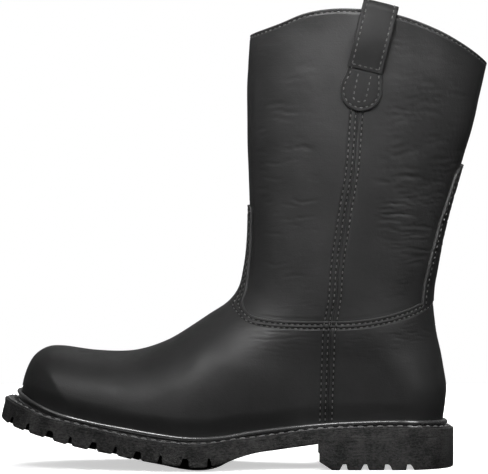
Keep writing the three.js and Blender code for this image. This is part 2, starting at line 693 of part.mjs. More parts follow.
function boot() {
  const group = new THREE.Group();
  const add = (name, piece, finish) => {
    const mesh = new THREE.Mesh(geometryOf(piece), new THREE.MeshStandardMaterial(FINISHES[finish]));
    mesh.name = name;
    group.add(mesh);
  };

  const leather = layer(LEATHER);
  const [vamp, heelCounter] = footPanels(leather, footRegion(-GAP / 2));
  const [shaftFront, shaftBack] = shaftPanels(leather, footRegion(GAP / 2));
  const [vampLining, heelLining] = footPanels(layer(FOOT_LINING), footBelow);
  const [frontLining, backLining] = shaftPanels(layer(SHAFT_LINING), footAbove);
  const overlay = layer(OVERLAY);
  const cap = layer(CAP);

  add("vamp", vamp, "leather");
  add("heel_counter", heelCounter, "leather");
  add("shaft_front", shaftFront, "leather");
  add("shaft_back", shaftBack, "leather");
  add("backstay", backstay(overlay), "leather");
  add("vamp_lining", vampLining, "lining");
  add("heel_lining", heelLining, "lining");
  add("shaft_lining_front", frontLining, "lining");
  add("shaft_lining_back", backLining, "lining");

  const capRegion = box([-FAR, -FAR, -FAR], [FAR, CAP_REAR, FAR]);
  const gasketRegion = box([-FAR, CAP_REAR + GAP, -FAR], [FAR, CAP_REAR + GASKET_WIDTH, FAR]);
  add("steel_toe_cap", mainBody(cap.intersect(capRegion)), "steel");
  add("toe_cap_gasket", mainBody(cap.intersect(gasketRegion)), "rubber");
  add("heel_stiffener", mainBody(layer(STIFFENER).intersect(sidePrism(STIFFENER_SHAPE))), "stiffener");

  const tape = layer(TAPE);
  for (const [name, side] of [["lateral", 1], ["medial", -1]]) {
    add(`${name}_seam_tape`, seamTape(tape, side), "cover");
    add(`${name}_pull_strap`, pullStrap(side), "leather");
    add(`${name}_strap_tab`, strapTab(overlay, side), "leather");
  }

  add("outsole", outsole(), "rubber");
  add("heel_block", heelBlock(), "rubber");
  NAIL_PLACES.forEach((place, i) => add(`heel_nail_${i + 1}`, heelNail(place), "steel"));
  const midsoleEdge = outline(-MIDSOLE.inset, soleMargin);
  add("midsole", nailed(soleLayer(midsoleEdge, MIDSOLE.bottom, MIDSOLE.top)), "rubber");
  add("welt", welt(), "welt");
  add("welt_stitching", weltStitching(), "thread");
  add("cork_filler", corkFiller(), "cork");
  add("steel_shank", steelShank(), "steel");
  add("insole_board", nailed(soleLayer(outline(INSOLE.inset), INSOLE.bottom, INSOLE.top)), "board");
  add("footbed", soleLayer(outline(FOOTBED.inset), FOOTBED.bottom, FOOTBED.top), "foam");
  const coverEdge = outline(FOOTBED_COVER.inset);
  add("footbed_cover", soleLayer(coverEdge, FOOTBED_COVER.bottom, FOOTBED_COVER.top), "cover");
  return group;
}

const model = boot();

// The origin is under the middle of the boot, on the ground.
const extent = new THREE.Box3().setFromObject(model);
const middle = extent.getCenter(new THREE.Vector3());
model.position.set(-middle.x, -middle.y, -extent.min.z);

export default model;
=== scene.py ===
"""A black pull-on work boot with a storm welt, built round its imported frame.

Lengths are millimetres in the boot's own axes: the toe points to -Y, the outer side faces +X and
z = 0 is the ground. row() turns them into the frame's metres. The upper's leather and lining are
cut from one common surface.
"""

import math

import bmesh
import bpy
import numpy as np
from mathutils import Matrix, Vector


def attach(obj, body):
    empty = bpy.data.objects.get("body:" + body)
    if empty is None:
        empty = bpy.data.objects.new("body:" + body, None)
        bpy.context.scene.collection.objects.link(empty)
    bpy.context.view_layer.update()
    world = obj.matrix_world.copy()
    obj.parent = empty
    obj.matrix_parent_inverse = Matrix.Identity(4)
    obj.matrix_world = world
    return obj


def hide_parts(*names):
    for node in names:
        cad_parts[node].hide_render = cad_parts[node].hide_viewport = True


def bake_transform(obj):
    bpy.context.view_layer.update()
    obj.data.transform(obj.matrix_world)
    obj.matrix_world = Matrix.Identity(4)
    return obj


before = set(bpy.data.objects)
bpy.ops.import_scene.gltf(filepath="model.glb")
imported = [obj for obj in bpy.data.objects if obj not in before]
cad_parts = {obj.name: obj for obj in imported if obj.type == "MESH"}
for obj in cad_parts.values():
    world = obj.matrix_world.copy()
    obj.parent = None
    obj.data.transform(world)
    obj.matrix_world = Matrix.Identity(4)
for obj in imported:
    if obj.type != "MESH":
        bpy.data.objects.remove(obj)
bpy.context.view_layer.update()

ORIGIN = np.array([2.321, 0.351, 0.0])
MM = 0.001

# ---------------------------------------------------------------- numbers and curves


def row(points):
    """Boot millimetres to metres in the frame."""
    return (np.asarray(points, float) + ORIGIN) * MM


def smoothstep(low, high, value):
    t = np.clip((value - low) / (high - low), 0, 1)
    return t * t * (3 - 2 * t)


def mix(a, b, share):
    return a + (b - a) * share


def bell(value, middle, width):
    return np.exp(-(((value - middle) / width) ** 2))


def unit(vectors):
    return vectors / np.linalg.norm(vectors, axis=-1, keepdims=True)


def run_along(points):
    """The distance run along a line, at each of its points."""
    return np.r_[0, np.cumsum(np.linalg.norm(np.diff(points, axis=0), axis=1))]


def resample(points, count):
    run = run_along(points)
    at = np.linspace(0, run[-1], count)
    return np.column_stack([np.interp(at, run, points[:, i]) for i in range(points.shape[1])])


def through(points):
    """A smooth function of one variable through the given points."""
    xs, ys = np.array(points, float).T
    before = np.r_[0, np.arange(len(xs) - 1)]
    after = np.r_[np.arange(1, len(xs)), len(xs) - 1]
    slopes = (ys[after] - ys[before]) / (xs[after] - xs[before])

    def value(x):
        x = np.clip(x, xs[0], xs[-1])
        i = np.clip(np.searchsorted(xs, x, side="right") - 1, 0, len(xs) - 2)
        span = xs[i + 1] - xs[i]
        t = (x - xs[i]) / span
        t2, t3 = t * t, t * t * t
        ends = (2 * t3 - 3 * t2 + 1) * ys[i] + (3 * t2 - 2 * t3) * ys[i + 1]
        return ends + ((t3 - 2 * t2 + t) * slopes[i] + (t3 - t2) * slopes[i + 1]) * span

    return value


def side_curve(points, count):
    """Evenly spaced points on a centripetal Catmull-Rom curve."""
    p = np.array(points, float)
    p = np.vstack([2 * p[0] - p[1], p, 2 * p[-1] - p[-2]])
    t = np.linspace(0, 1, 40, endpoint=False)[:, None]
    fine = []
    for i in range(1, len(p) - 2):
        d0, d1, d2 = (np.linalg.norm(p[i + k] - p[i + k - 1]) ** 0.5 for k in range(3))
        a = (p[i] - p[i - 1]) / d0 - (p[i + 1] - p[i - 1]) / (d0 + d1) + (p[i + 1] - p[i]) / d1
        b = (p[i + 1] - p[i]) / d1 - (p[i + 2] - p[i]) / (d1 + d2) + (p[i + 2] - p[i + 1]) / d2
        h = (2 * t**3 - 3 * t**2 + 1) * p[i] + (3 * t**2 - 2 * t**3) * p[i + 1]
        fine.append(h + ((t**3 - 2 * t**2 + t) * a + (t**3 - t**2) * b) * d1)
    return resample(np.vstack([*fine, p[-2:-1]]), count)


def distance_to(line, points, stride=8, batch=8000):
    """Distance from each 2-D point to a finely sampled polyline."""
    a, d = line[:-1], np.diff(line, axis=0)
    length = np.maximum((d * d).sum(1), 1e-12)
    coarse = line[::stride]
    window = np.arange(-stride, stride + 1)
    out = np.empty(len(points))
    for low in range(0, len(points), batch):
        q = points[low : low + batch, None, :]
        nearest = ((q - coarse) ** 2).sum(2).argmin(1) * stride
        near = np.clip(nearest[:, None] + window, 0, len(a) - 1)
        offset = q - a[near]
        t = np.clip((offset * d[near]).sum(2) / length[near], 0, 1)
        out[low : low + batch] = np.sqrt(((offset - t[..., None] * d[near]) ** 2).sum(2).min(1))
    return out


def noise(u, v, seed):
    """Smooth 2-D gradient noise, about -0.7 to 0.7."""
    table = np.random.default_rng(seed).uniform(0, 2 * math.pi, (64, 64))
    i, j = np.floor(u).astype(int), np.floor(v).astype(int)
    fu, fv = u - i, v - j
    corner = {}
    for a in (0, 1):
        for b in (0, 1):
            turn = table[(i + a) % 64, (j + b) % 64]
            corner[a, b] = np.cos(turn) * (fu - a) + np.sin(turn) * (fv - b)
    su, sv = (t * t * t * (t * (t * 6 - 15) + 10) for t in (fu, fv))
    return mix(mix(corner[0, 0], corner[1, 0], su), mix(corner[0, 1], corner[1, 1], su), sv)


# ---------------------------------------------------------------- driving dimensions

# Side view of the upper, as (y, z) from the welt up.
FRONT_LINE = [
    (-158.5, 48), (-157.7, 59), (-154, 70.5), (-148.5, 79), (-140, 84), (-130, 84.8), (-106, 81.6),
    (-78, 81.5), (-55, 88.7), (-32, 102.5), (-10, 116.2), (-2.3, 126.5), (1.3, 141), (3.3, 158),
    (3.9, 185), (3.3, 205), (2.5, 235), (2.5, 272), (4.3, 305.4),
]
BACK_LINE = [
    (141, 33.1), (142.6, 45), (143.4, 56), (141.3, 70.5), (139, 83), (135, 99.5), (132.8, 113),
    (133.2, 125.5), (135.2, 138.6), (142.4, 172.6), (151.8, 206.7), (161.9, 240.7),
    (169.6, 274.7), (172.3, 285.3),
]
# Heights along y.
top_line = through([
    (4.3, 305.4), (14.4, 307.9), (25.7, 311.4), (42.4, 317.5), (59, 320.2), (76, 320.4),
    (95, 318.7), (114.5, 314), (137, 305.5), (154.5, 296.4), (172.3, 285.3),
])
bead_top = through([
    (-158, 53.5), (-143, 45.8), (-126, 39.5), (-103, 34.1), (-82, 30.5), (-60, 26.9),
    (-39, 24.3), (-17, 24.5), (5, 27.8), (28, 30.4), (51, 32.6), (74, 34), (109, 34.8), (145, 33.4),
])
outsole_top = through([
    (-172, 49), (-160, 45.3), (-136, 36.3), (-121, 33), (-103, 28.8), (-81, 24.3), (-60, 20.8),
    (-38, 18.8), (-22, 19), (-5, 21.4), (5, 22.2), (28, 25.1), (51, 27.9), (74, 29),
    (114, 29.5), (149, 27.8),
])
outsole_bottom = through([
    (-172, 34), (-164, 30.3), (-152, 26.6), (-137, 22.3), (-123, 18.4), (-108, 15), (-90, 11.8),
    (-77, 8.9), (-60, 6.2), (-43, 3.9), (-30, 3.0), (-18, 4.3), (-9, 7.8), (9, 12.6), (22, 14.3),
    (40, 16.6), (60, 18.8), (149, 18.8),
])
sole_crown = through([
    (-172, 0.4), (-100, 0.5), (-62, 1.6), (-42, 3), (-25, 3), (0, 1.2), (60, 0.6), (150, 0.6),
])
# Half widths and where they are measured from, along y or z.
lateral_width = through([
    (-160, 45), (-115, 49), (-75, 53), (-35, 53), (0, 45), (30, 38), (60, 35), (105, 33.5),
    (150, 33),
])
medial_width = through([
    (-160, 43), (-115, 46), (-65, 49), (-35, 46), (0, 38), (30, 34), (60, 33.5), (105, 33.5),
    (150, 33),
])
ridge_offset = through([(-160, -9), (-110, -7.5), (-50, -3.5), (0, -1), (30, 0), (150, 0)])
shaft_width = through([(95, 36), (113, 36), (150, 37), (200, 39), (260, 41), (325, 42.3)])
shaft_half_length = through([(113, 66), (208, 75), (303, 84)])
sole_margin = through([
    (-172, 13), (-150, 11.5), (-120, 10.5), (-40, 9.5), (20, 8), (60, 7.5), (150, 7.5),
])

SHAFT_BLEND = (68, 128)  # height over which the foot's section turns into the shaft's
BLEND_LEAN = 0.35
BLEND_REACH = 60
INSTEP_BLEND = (-125, 0)
HEEL_BLEND = (50, 120)
TOE_DOME, INSTEP_DOME, HEEL_DOME = 46, 70, 33
FOOT_SQUARENESS = 2.3
TUCK = 0.05  # how much the upper pulls in at the welt
TUCK_HEIGHT = 15
UPPER_STANDS = 3.7  # the upper's foot over the outsole's top

AROUND = 170  # cells of the common surface on each side, front to back
RINGS = 330  # cells from the welt to the top edge
BACK_EASE = 1.7
FOOT_BOW_SHARE = 0.34
TOP_BOW_SHARE = 0.28
TOE_SAG = 10  # how far the rings near the toe's top hang down between their ends
SAG_START, SAG_END = (0.02, 0.12), (0.22, 0.42)

# Seams: side view as (y, z), or for tongue shapes in the front view as (height, half width).
SIDE_SEAM = [
    (58.4, 0), (58.6, 34), (59.8, 70), (61, 98), (64.6, 118), (66.3, 141), (71.5, 176),
    (77, 210.6), (80, 248.7), (85, 285), (91, 335),
]
FOOT_SEAM = [
    (-8, 119), (-1, 113), (3.5, 108.6), (8, 106.3), (22.9, 104), (40, 103.3), (60, 103.3),
    (71, 103.4), (86, 104.7), (99, 107), (109.4, 109.8), (120.2, 113.8), (131.4, 119.8), (150, 133),
]
TONGUE = [(60, 30), (100, 24), (111, 19.5), (118, 16), (130, 12), (144, 10), (165, 9), (180, 9)]
TONGUE_TIP, TONGUE_REACH = 185, 40
BACKSTAY = [(95, 18), (118, 17), (143, 15.5), (167, 13.5), (190, 11.5), (202, 10)]
BACKSTAY_TIP, BACKSTAY_REACH = 214, 90
BACKSTAY_UNDER = 3  # how far its foot goes under the foot leather
FAR = -60  # a tongue's field on the other half of the boot

STRAP = dict(
    width=25, thickness=2.2, tilt=14, y=89, z=296, top=325.6, outer=277.2, inner=288,
    clear=0.5, bulge=2.2,
)
TAB = dict(half_width=14.7, top_half_width=12.4, y=82, z=263.7, top=17.5, tilt=12)
TAB_TUCK = (13.4, 14.6)  # where the tab goes under the strap, up along the tab

# Heights over the common surface, outer face and inner face.
LEATHER = (0, -2)
TAPE = (-2.4, -2.9)
FOOT_LINING = (-4.6, -5.8)
SHAFT_LINING = (-3.4, -4.6)
OVERLAY = (2.0, 0.05)
LAP = 1.5  # how far the foot leather stands over the shaft where it overlaps
THINNEST = 0.8  # leather left under a groove
TAPE_HALF_WIDTH, TAPE_FROM, TAPE_TO = 7, 112, 300

EDGE_RADIUS = 0.6  # rounding of cut leather edges
EDGE_BAND = 0.61  # width of the paler band along cut edges, a painted highlight on the rounded edge, and half of a groove's band of painted shade
SEAM_ROWS = (2.4, 5.2)  # stitch rows below the foot seam's edge
SIDE_ROWS = (1.5, 5.1, -3.2)  # stitch rows before and behind the side seam
TOP_ROW, BACKSTAY_ROW, TAB_ROW = 2.3, 2.3, 2.6
GROOVE_WIDTH = 0.6
STITCH_PITCH, STITCH_LENGTH, STITCH_RADIUS = 4.0, 2.3, 0.38
WELT_STITCH = dict(pitch=6.9, length=4.8, radius=0.45)

TOE_FLARE = 2.5
TOE_FLARE_SPAN = (-160, -125)
WELT_INSET = 1.8
STITCH_INSET = 1.2
BEAD_WIDTH = 3
HEEL_FRONT = 53
HEEL_TOP = 22
HEEL_SEAT_GAP = 0.15
HEEL_CHAMFER = (9, 6)
BREAST_RADIUS, BREAST_DEPTH = 130, 5.5
NARROW_NOTCHES = (-163.5, -151, -120.3, -88.5, -57.1, -22.6)
WIDE_NOTCHES = (-134.9, -103.9, -73, -40)
NOTCH_DEPTH, NOTCH_LENGTH, NOTCH_LIP = 6, 17, 1.1
NOTCH_CORE = 8  # half of the tread's middle that the side notches leave whole
CHANNEL_WIDTH = 5
TREAD_REAR = -14
BAR_GROOVE = 4
HEEL_NOTCHES = (70, 84.7, 100.7, 116)
HEEL_CORE = 18
PAST = 90  # a cutter's reach past the sole's side
CELLS_ACROSS = 14  # cells across a lofted body's top and bottom faces
FOOTBED_INSET = 7.4

front_samples, back_samples = side_curve(FRONT_LINE, 1201), side_curve(BACK_LINE, 801)
foot_seam, side_seam = side_curve(FOOT_SEAM, 241), side_curve(SIDE_SEAM, 241)

# ---------------------------------------------------------------- the upper's common surface


def upper_foot(y):
    return outsole_top(y) + UPPER_STANDS


def dome(share, squareness):
    left = 1 - np.clip(share, 0, 1)
    return (1 - left**squareness) ** (1 / squareness)


def upper_x(y, z, side):
    """How far out the upper lies at side-view place (y, z); side is +1 outside, -1 inside."""
    places = np.column_stack([y.ravel(), z.ravel()])
    to_front = distance_to(front_samples, places).reshape(y.shape)
    to_back = distance_to(back_samples, places).reshape(y.shape)
    lean = BLEND_LEAN * np.clip(y, -BLEND_REACH, BLEND_REACH)
    into_shaft = smoothstep(*SHAFT_BLEND, z + lean)
    foot_width = lateral_width(y) if side > 0 else medial_width(y)
    width = mix(foot_width, shaft_width(z), into_shaft)
    half_length = shaft_half_length(z)
    front_foot = mix(TOE_DOME, INSTEP_DOME, smoothstep(*INSTEP_BLEND, y))
    front_dome = mix(front_foot, half_length, into_shaft)
    back_dome = mix(HEEL_DOME, half_length, smoothstep(*HEEL_BLEND, z))
    squareness = mix(FOOT_SQUARENESS, 2, into_shaft)
    domes = dome(to_front / front_dome, squareness) * dome(to_back / back_dome, 2)
    tuck = 1 - TUCK * (1 - smoothstep(0, TUCK_HEIGHT, z - upper_foot(y)))
    return ridge_offset(y) * (1 - into_shaft) + side * width * domes * tuck


def common_surface():
    """Points and normals of the upper, rings from the welt to the top edge."""
    rise = np.linspace(0, 1, RINGS + 1)[:, None]
    share = (1 - np.cos(np.linspace(0, math.pi, AROUND + 1))) / 2
    fine_front, fine_back = side_curve(FRONT_LINE, 2001), side_curve(BACK_LINE, 2001)
    at = np.linspace(0, 1, 2001)

    def rider(line, where):
        return np.interp(where, at, line[:, 0]), np.interp(where, at, line[:, 1])

    front_y, front_z = rider(fine_front, rise)
    back_y, back_z = rider(fine_back, rise**BACK_EASE)
    y = mix(front_y, back_y, share)
    bow = {}
    for end, height in ((0, upper_foot), (-1, top_line)):
        (fy, _), (by, _) = fine_front[end], fine_back[end]
        bow[end] = height(mix(fy, by, share)) - mix(height(fy), height(by), share)
    like_foot = 1 - smoothstep(0, FOOT_BOW_SHARE, rise)
    like_top = smoothstep(1 - TOP_BOW_SHARE, 1, rise)
    z = mix(front_z, back_z, share) + like_foot * bow[0] + like_top * bow[-1]
    sag = smoothstep(*SAG_START, rise) * (1 - smoothstep(*SAG_END, rise))
    z = z - TOE_SAG * sag * np.sin(math.pi * share) ** 0.7
    sides = [upper_x(y, z, 1), upper_x(y, z, -1)]
    for x in sides:
        x[:, [0, -1]] = (sides[0][:, [0, -1]] + sides[1][:, [0, -1]]) / 2
    outer = np.stack([sides[0], y, z], axis=2)
    inner = np.stack([sides[1], y, z], axis=2)[:, 1:-1][:, ::-1]
    rings = np.concatenate([outer, inner], axis=1)
    along = np.roll(rings, -1, axis=1) - np.roll(rings, 1, axis=1)
    return rings, unit(np.cross(along, np.gradient(rings, axis=0)))


surface, surface_normals = common_surface()
RING = surface.shape[1]


def on_upper(y, z, side, step=0.5):
    """Points and normals of the common surface at side-view places."""
    x = upper_x(y, z, side)
    slope_y = (upper_x(y + step, z, side) - upper_x(y - step, z, side)) / (2 * step)
    slope_z = (upper_x(y, z + step, side) - upper_x(y, z - step, side)) / (2 * step)
    return np.column_stack([x, y, z]), unit(np.column_stack([np.ones_like(x), -slope_y, -slope_z]) * side)


# ---------------------------------------------------------------- seams as distance fields


def seam_field(points, polyline, inside):
    """Signed distance to a polyline, positive where inside is true."""
    return distance_to(polyline, points) * np.where(inside, 1, -1)


def tongue_field(x, z, half_widths, tip):
    """Signed distance, in the front view, to a tongue-shaped outline, positive inside."""
    heights, widths = np.array(half_widths, float).T
    turn = np.linspace(0, math.pi / 2, 12)[1:]
    arc = np.column_stack([widths[-1] * np.cos(turn), mix(heights[-1], tip, np.sin(turn))])
    side = np.column_stack([widths, heights])
    line = np.vstack([resample(side, 80), resample(np.vstack([side[-1:], arc]), 40)[1:]])
    inside = (np.abs(x) < np.interp(z, line[:, 1], line[:, 0])) & (z < tip)
    return seam_field(np.column_stack([np.abs(x), z]), line, inside)


def smooth_max(a, b, radius):
    h = np.maximum(radius - np.abs(a - b), 0) / radius
    return np.maximum(a, b) + h * h * radius / 4


def tab_place(y, z):
    """Side-view places in the tab's own axes, from its round end's centre."""
    turn = math.radians(TAB["tilt"])
    dy, dz = y - TAB["y"], z - TAB["z"]
    return dy * math.cos(turn) - dz * math.sin(turn), dy * math.sin(turn) + dz * math.cos(turn)


def tab_field(y, z):
    """Signed distance to a strap tab's outline in the side view."""
    across, up = tab_place(y, z)
    half = mix(TAB["half_width"], TAB["top_half_width"], smoothstep(0, 13, up))
    round_end = TAB["half_width"] - np.hypot(across, up)
    straight = np.minimum(half - np.abs(across), TAB["top"] - up)
    return np.where(up < 0, round_end, straight)


def fields(points):
    """Signed distances to every seam at each point of the common surface."""
    x, y, z = points.T
    side = np.column_stack([y, z])
    foot = seam_field(side, foot_seam, z < np.interp(y, foot_seam[:, 0], foot_seam[:, 1]))
    tongue = np.where(y < TONGUE_REACH, tongue_field(x, z, TONGUE, TONGUE_TIP), FAR)
    return {
        "foot": smooth_max(foot, tongue, 5),
        "front": seam_field(side, side_seam, y < np.interp(z, side_seam[:, 1], side_seam[:, 0])),
        "top": top_line(y) - z,
        "tab_up": tab_place(y, z)[1],
        "stay": np.where(y > BACKSTAY_REACH, tongue_field(x, z, BACKSTAY, BACKSTAY_TIP), FAR),
        "tab": tab_field(y, z),
    }


class Sheet:
    """A patch of the common surface that can be cut along the level lines of its fields."""

    def __init__(self, rows=slice(None), columns=None):
        columns = np.arange(RING + 1) if columns is None else np.array(columns)
        index = np.arange(RINGS + 1)[rows]
        grid = surface[index][:, columns % RING]
        normals = surface_normals[index][:, columns % RING]
        if len(columns) == RING + 1:
            grid, normals = grid[:, :-1], normals[:, :-1]
        points = grid.reshape(-1, 3)
        layers = {"x": points[:, 0], "y": points[:, 1], "z": points[:, 2]}
        layers.update({name: normals.reshape(-1, 3)[:, i] for i, name in enumerate(("nx", "ny", "nz"))})
        layers.update(fields(points))
        self.names = list(layers)
        self.data = np.column_stack(list(layers.values()))
        r, k = np.meshgrid(np.arange(len(index) - 1), np.arange(len(columns) - 1), indexing="ij")
        wide = grid.shape[1]
        after = (k + 1) % wide
        corners = [r * wide + k, r * wide + after, (r + 1) * wide + after, (r + 1) * wide + k]
        self.quads = np.stack(corners, axis=2).reshape(-1, 4)
        self.loose = []

    def __getitem__(self, name):
        return self.data[:, self.names.index(name)]

    def cut(self, name, *levels):
        for level in levels:
            self.cut_at(self.names.index(name), level)

    def cut_at(self, column, level, snap=0.02):
        self.data[np.abs(self.data[:, column] - level) < snap, column] = level
        value = self.data[:, column] - level
        at = value[self.quads]
        crossing = (at.min(1) < 0) & (at.max(1) > 0)
        self.loose.extend(self.quads[crossing].tolist())
        self.quads = self.quads[~crossing]
        value = value.tolist()
        extra, known, kept = [], {}, []
        for polygon in self.loose:
            signs = [value[i] for i in polygon]
            if min(signs) >= 0 or max(signs) <= 0:
                kept.append(polygon)
                continue
            above, below = [], []
            for i, j in zip(polygon, polygon[1:] + polygon[:1]):
                a, b = value[i], value[j]
                if a >= 0:
                    above.append(i)
                if a <= 0:
                    below.append(i)
                if a * b < 0:
                    key = (min(i, j), max(i, j))
                    if key not in known:
                        known[key] = len(value) + len(extra)
                        extra.append((i, j, a / (a - b)))
                    above.append(known[key])
                    below.append(known[key])
            kept.extend(part for part in (above, below) if len(part) > 2)
        self.loose = kept
        if extra:
            i, j, t = (np.array(c) for c in zip(*extra))
            t = t[:, None]
            new = self.data[i] * (1 - t) + self.data[j] * t
            new[:, 3:6] = unit(new[:, 3:6])
            new[:, column] = level
            self.data = np.vstack([self.data, new])

    def polygons(self, keep):
        """The polygons whose middle satisfies keep, a test on the named layers."""
        middles = self.data[self.quads].mean(1).reshape(-1, self.data.shape[1])
        everything = np.vstack([middles, *[self.data[p].mean(0)[None] for p in self.loose]])
        mask = keep({name: everything[:, i] for i, name in enumerate(self.names)})
        chosen = self.quads[mask[: len(middles)]].tolist()
        return chosen + [p for p, use in zip(self.loose, mask[len(middles) :]) if use]

    def level_lines(self, polygons, name, level):
        """Chains of vertices along a level line inside the given polygons."""
        on = self[name] == level
        links = {}
        for polygon in polygons:
            for i, j in zip(polygon, polygon[1:] + polygon[:1]):
                if on[i] and on[j]:
                    links.setdefault(i, set()).add(j)
                    links.setdefault(j, set()).add(i)
        chains, used = [], set()
        for start in sorted(links, key=lambda i: len(links[i])):
            if start in used:
                continue
            chain, ahead = [], [start]
            while ahead:
                chain.append(ahead[0])
                used.add(ahead[0])
                ahead = [j for j in sorted(links[chain[-1]]) if j not in used]
            if chain[0] in links[chain[-1]] and len(chain) > 2:
                chain.append(chain[0])
            if len(chain) > 3:
                chains.append(chain)
        return chains


# ---------------------------------------------------------------- meshes


def new_object(name, vertices, faces, material, smooth=True):
    """A mesh object from millimetre points."""
    mesh = bpy.data.meshes.new(name)
    mesh.from_pydata(row(vertices).tolist(), [], [tuple(f) for f in faces])
    mesh.update()
    if smooth:
        mesh.shade_smooth()
    obj = bpy.data.objects.new(name, mesh)
    bpy.context.scene.collection.objects.link(obj)
    obj.data.materials.append(material)
    return obj


def sharpen(obj, degrees):
    """Marks edges sharper than the angle, so that smooth shading stops there."""
    obj.data.set_sharp_from_angle(angle=math.radians(degrees))


def fit(obj, node=None, body=None):
    """Hides the imported part it stands for and hangs the piece on its body; without a body its place is
    baked into the mesh.
    """
    if node:
        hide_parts(node)
    if body:
        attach(obj, body)
    else:
        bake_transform(obj)


def shell(name, sheet, polygons, outer, inner, material, trim=None, rows=()):
    """A closed solid between two heights over the sheet, with walls round its edges.

    Faces whose corners are all in trim, and the walls, get the paler cut-edge leather, a painted highlight
    along the rounded edge.
    Faces whose corners are all in one of the rows lie in a thread's groove and get darker leather, painted
    shade in the groove.
    """
    used = np.unique(np.concatenate([np.asarray(p) for p in polygons]))
    count = len(used)
    place = np.full(len(sheet.data), -1)
    place[used] = np.arange(count)
    points, normals = sheet.data[used, :3], sheet.data[used, 3:6]
    top, bottom = (points + normals * height[used, None] for height in (outer, inner))
    faces, edges, highlight_edge_faces, groove_shade_faces = [], {}, [], []
    for polygon in polygons:
        own = [int(place[i]) for i in polygon]
        if trim is not None and all(trim[i] for i in polygon):
            highlight_edge_faces.append(len(faces))
        elif any(all(groove_shade_mask[i] for i in polygon) for groove_shade_mask in rows):
            groove_shade_faces.append(len(faces))
        faces.append(own)
        faces.append([i + count for i in reversed(own)])
        for i, j in zip(own, own[1:] + own[:1]):
            if (j, i) in edges:
                del edges[j, i]
            else:
                edges[i, j] = True
    highlight_edge_faces.extend(range(len(faces), len(faces) + len(edges)))
    faces.extend([j, i, i + count, j + count] for i, j in edges)
    obj = new_object(name, np.vstack([top, bottom]), faces, material)
    if trim is not None:
        obj.data.materials.append(cut_edge_highlight)
        obj.data.materials.append(groove_shade_leather)
        index = np.zeros(len(faces), np.int32)
        # slot 1, paler leather: painted highlight along the cut edges
        index[highlight_edge_faces] = 1
        # slot 2, darker leather: painted shade in the thread grooves
        index[groove_shade_faces] = 2
        obj.data.polygons.foreach_set("material_index", index)
    sharpen(obj, 50)
    return obj


def tube_faces(sections, around):
    """Outward faces of a closed tube of equal sections."""
    faces = []
    for a in range(0, (sections - 1) * around, around):
        for k in range(around):
            n = (k + 1) % around
            faces.append((a + k, a + n, a + around + n, a + around + k))
    last = (sections - 1) * around
    return faces + [tuple(range(around))[::-1], tuple(range(last, last + around))]


def edge_drop(distance, radius=EDGE_RADIUS):
    """How far a rounded edge lies below its surface at a distance inside the edge."""
    left = np.clip(1 - distance / radius, 0, 1)
    return radius * (1 - np.sqrt(1 - left * left))


def thread_groove(distance, row_at, depth=0.55, width=GROOVE_WIDTH):
    return depth * bell(distance, row_at, width)


def stitch_template(length, radius, sections=7, around=8):
    """One stitch: a short thread that dives into the leather at both ends."""
    vertices = []
    for s in np.linspace(-1, 1, sections):
        thick = radius * math.sqrt(max(0.05, 1 - s**4))
        lift = radius * (0.55 - 1.5 * s**4)
        for k in range(around):
            turn = 2 * math.pi * k / around
            vertices.append((s * length / 2, thick * math.cos(turn), lift + thick * math.sin(turn)))
    return np.array(vertices), tube_faces(sections, around)


def stitches(name, paths, material, pitch=STITCH_PITCH, length=STITCH_LENGTH, radius=STITCH_RADIUS):
    """A row of stitches along each path of (points, normals)."""
    template, template_faces = stitch_template(length, radius)
    vertices, faces = [], []
    for points, normals in paths:
        run = run_along(points)
        count = int(run[-1] / pitch)
        if count < 1:
            continue
        middles = (np.arange(count) + 0.5) * run[-1] / count

        def at(distance, values=points, run=run):
            return np.column_stack([np.interp(distance, run, values[:, i]) for i in range(3)])

        tangent = unit(at(middles + length * 0.4) - at(middles - length * 0.4))
        across = unit(np.cross(at(middles, normals), tangent))
        for c, t, a, n in zip(at(middles), tangent, across, np.cross(tangent, across)):
            base = len(vertices) * len(template)
            vertices.append(c + template @ np.array([t, a, n]))
            faces.extend(tuple(i + base for i in face) for face in template_faces)
    return new_object(name, np.vstack(vertices), faces, material)


def stitch_row(name, paths, body=None):
    fit(stitches(name, paths, thread), body=body)


def rows_on(sheet, polygons, height, name, levels, shortest=8):
    """Paths over level lines, at the given heights over the common surface."""
    paths = []
    for level in levels:
        for chain in sheet.level_lines(polygons, name, level):
            normals = sheet.data[chain, 3:6]
            points = sheet.data[chain, :3] + normals * height[chain, None]
            if run_along(points)[-1] > shortest:
                paths.append((points, normals))
    return paths


# ---------------------------------------------------------------- materials


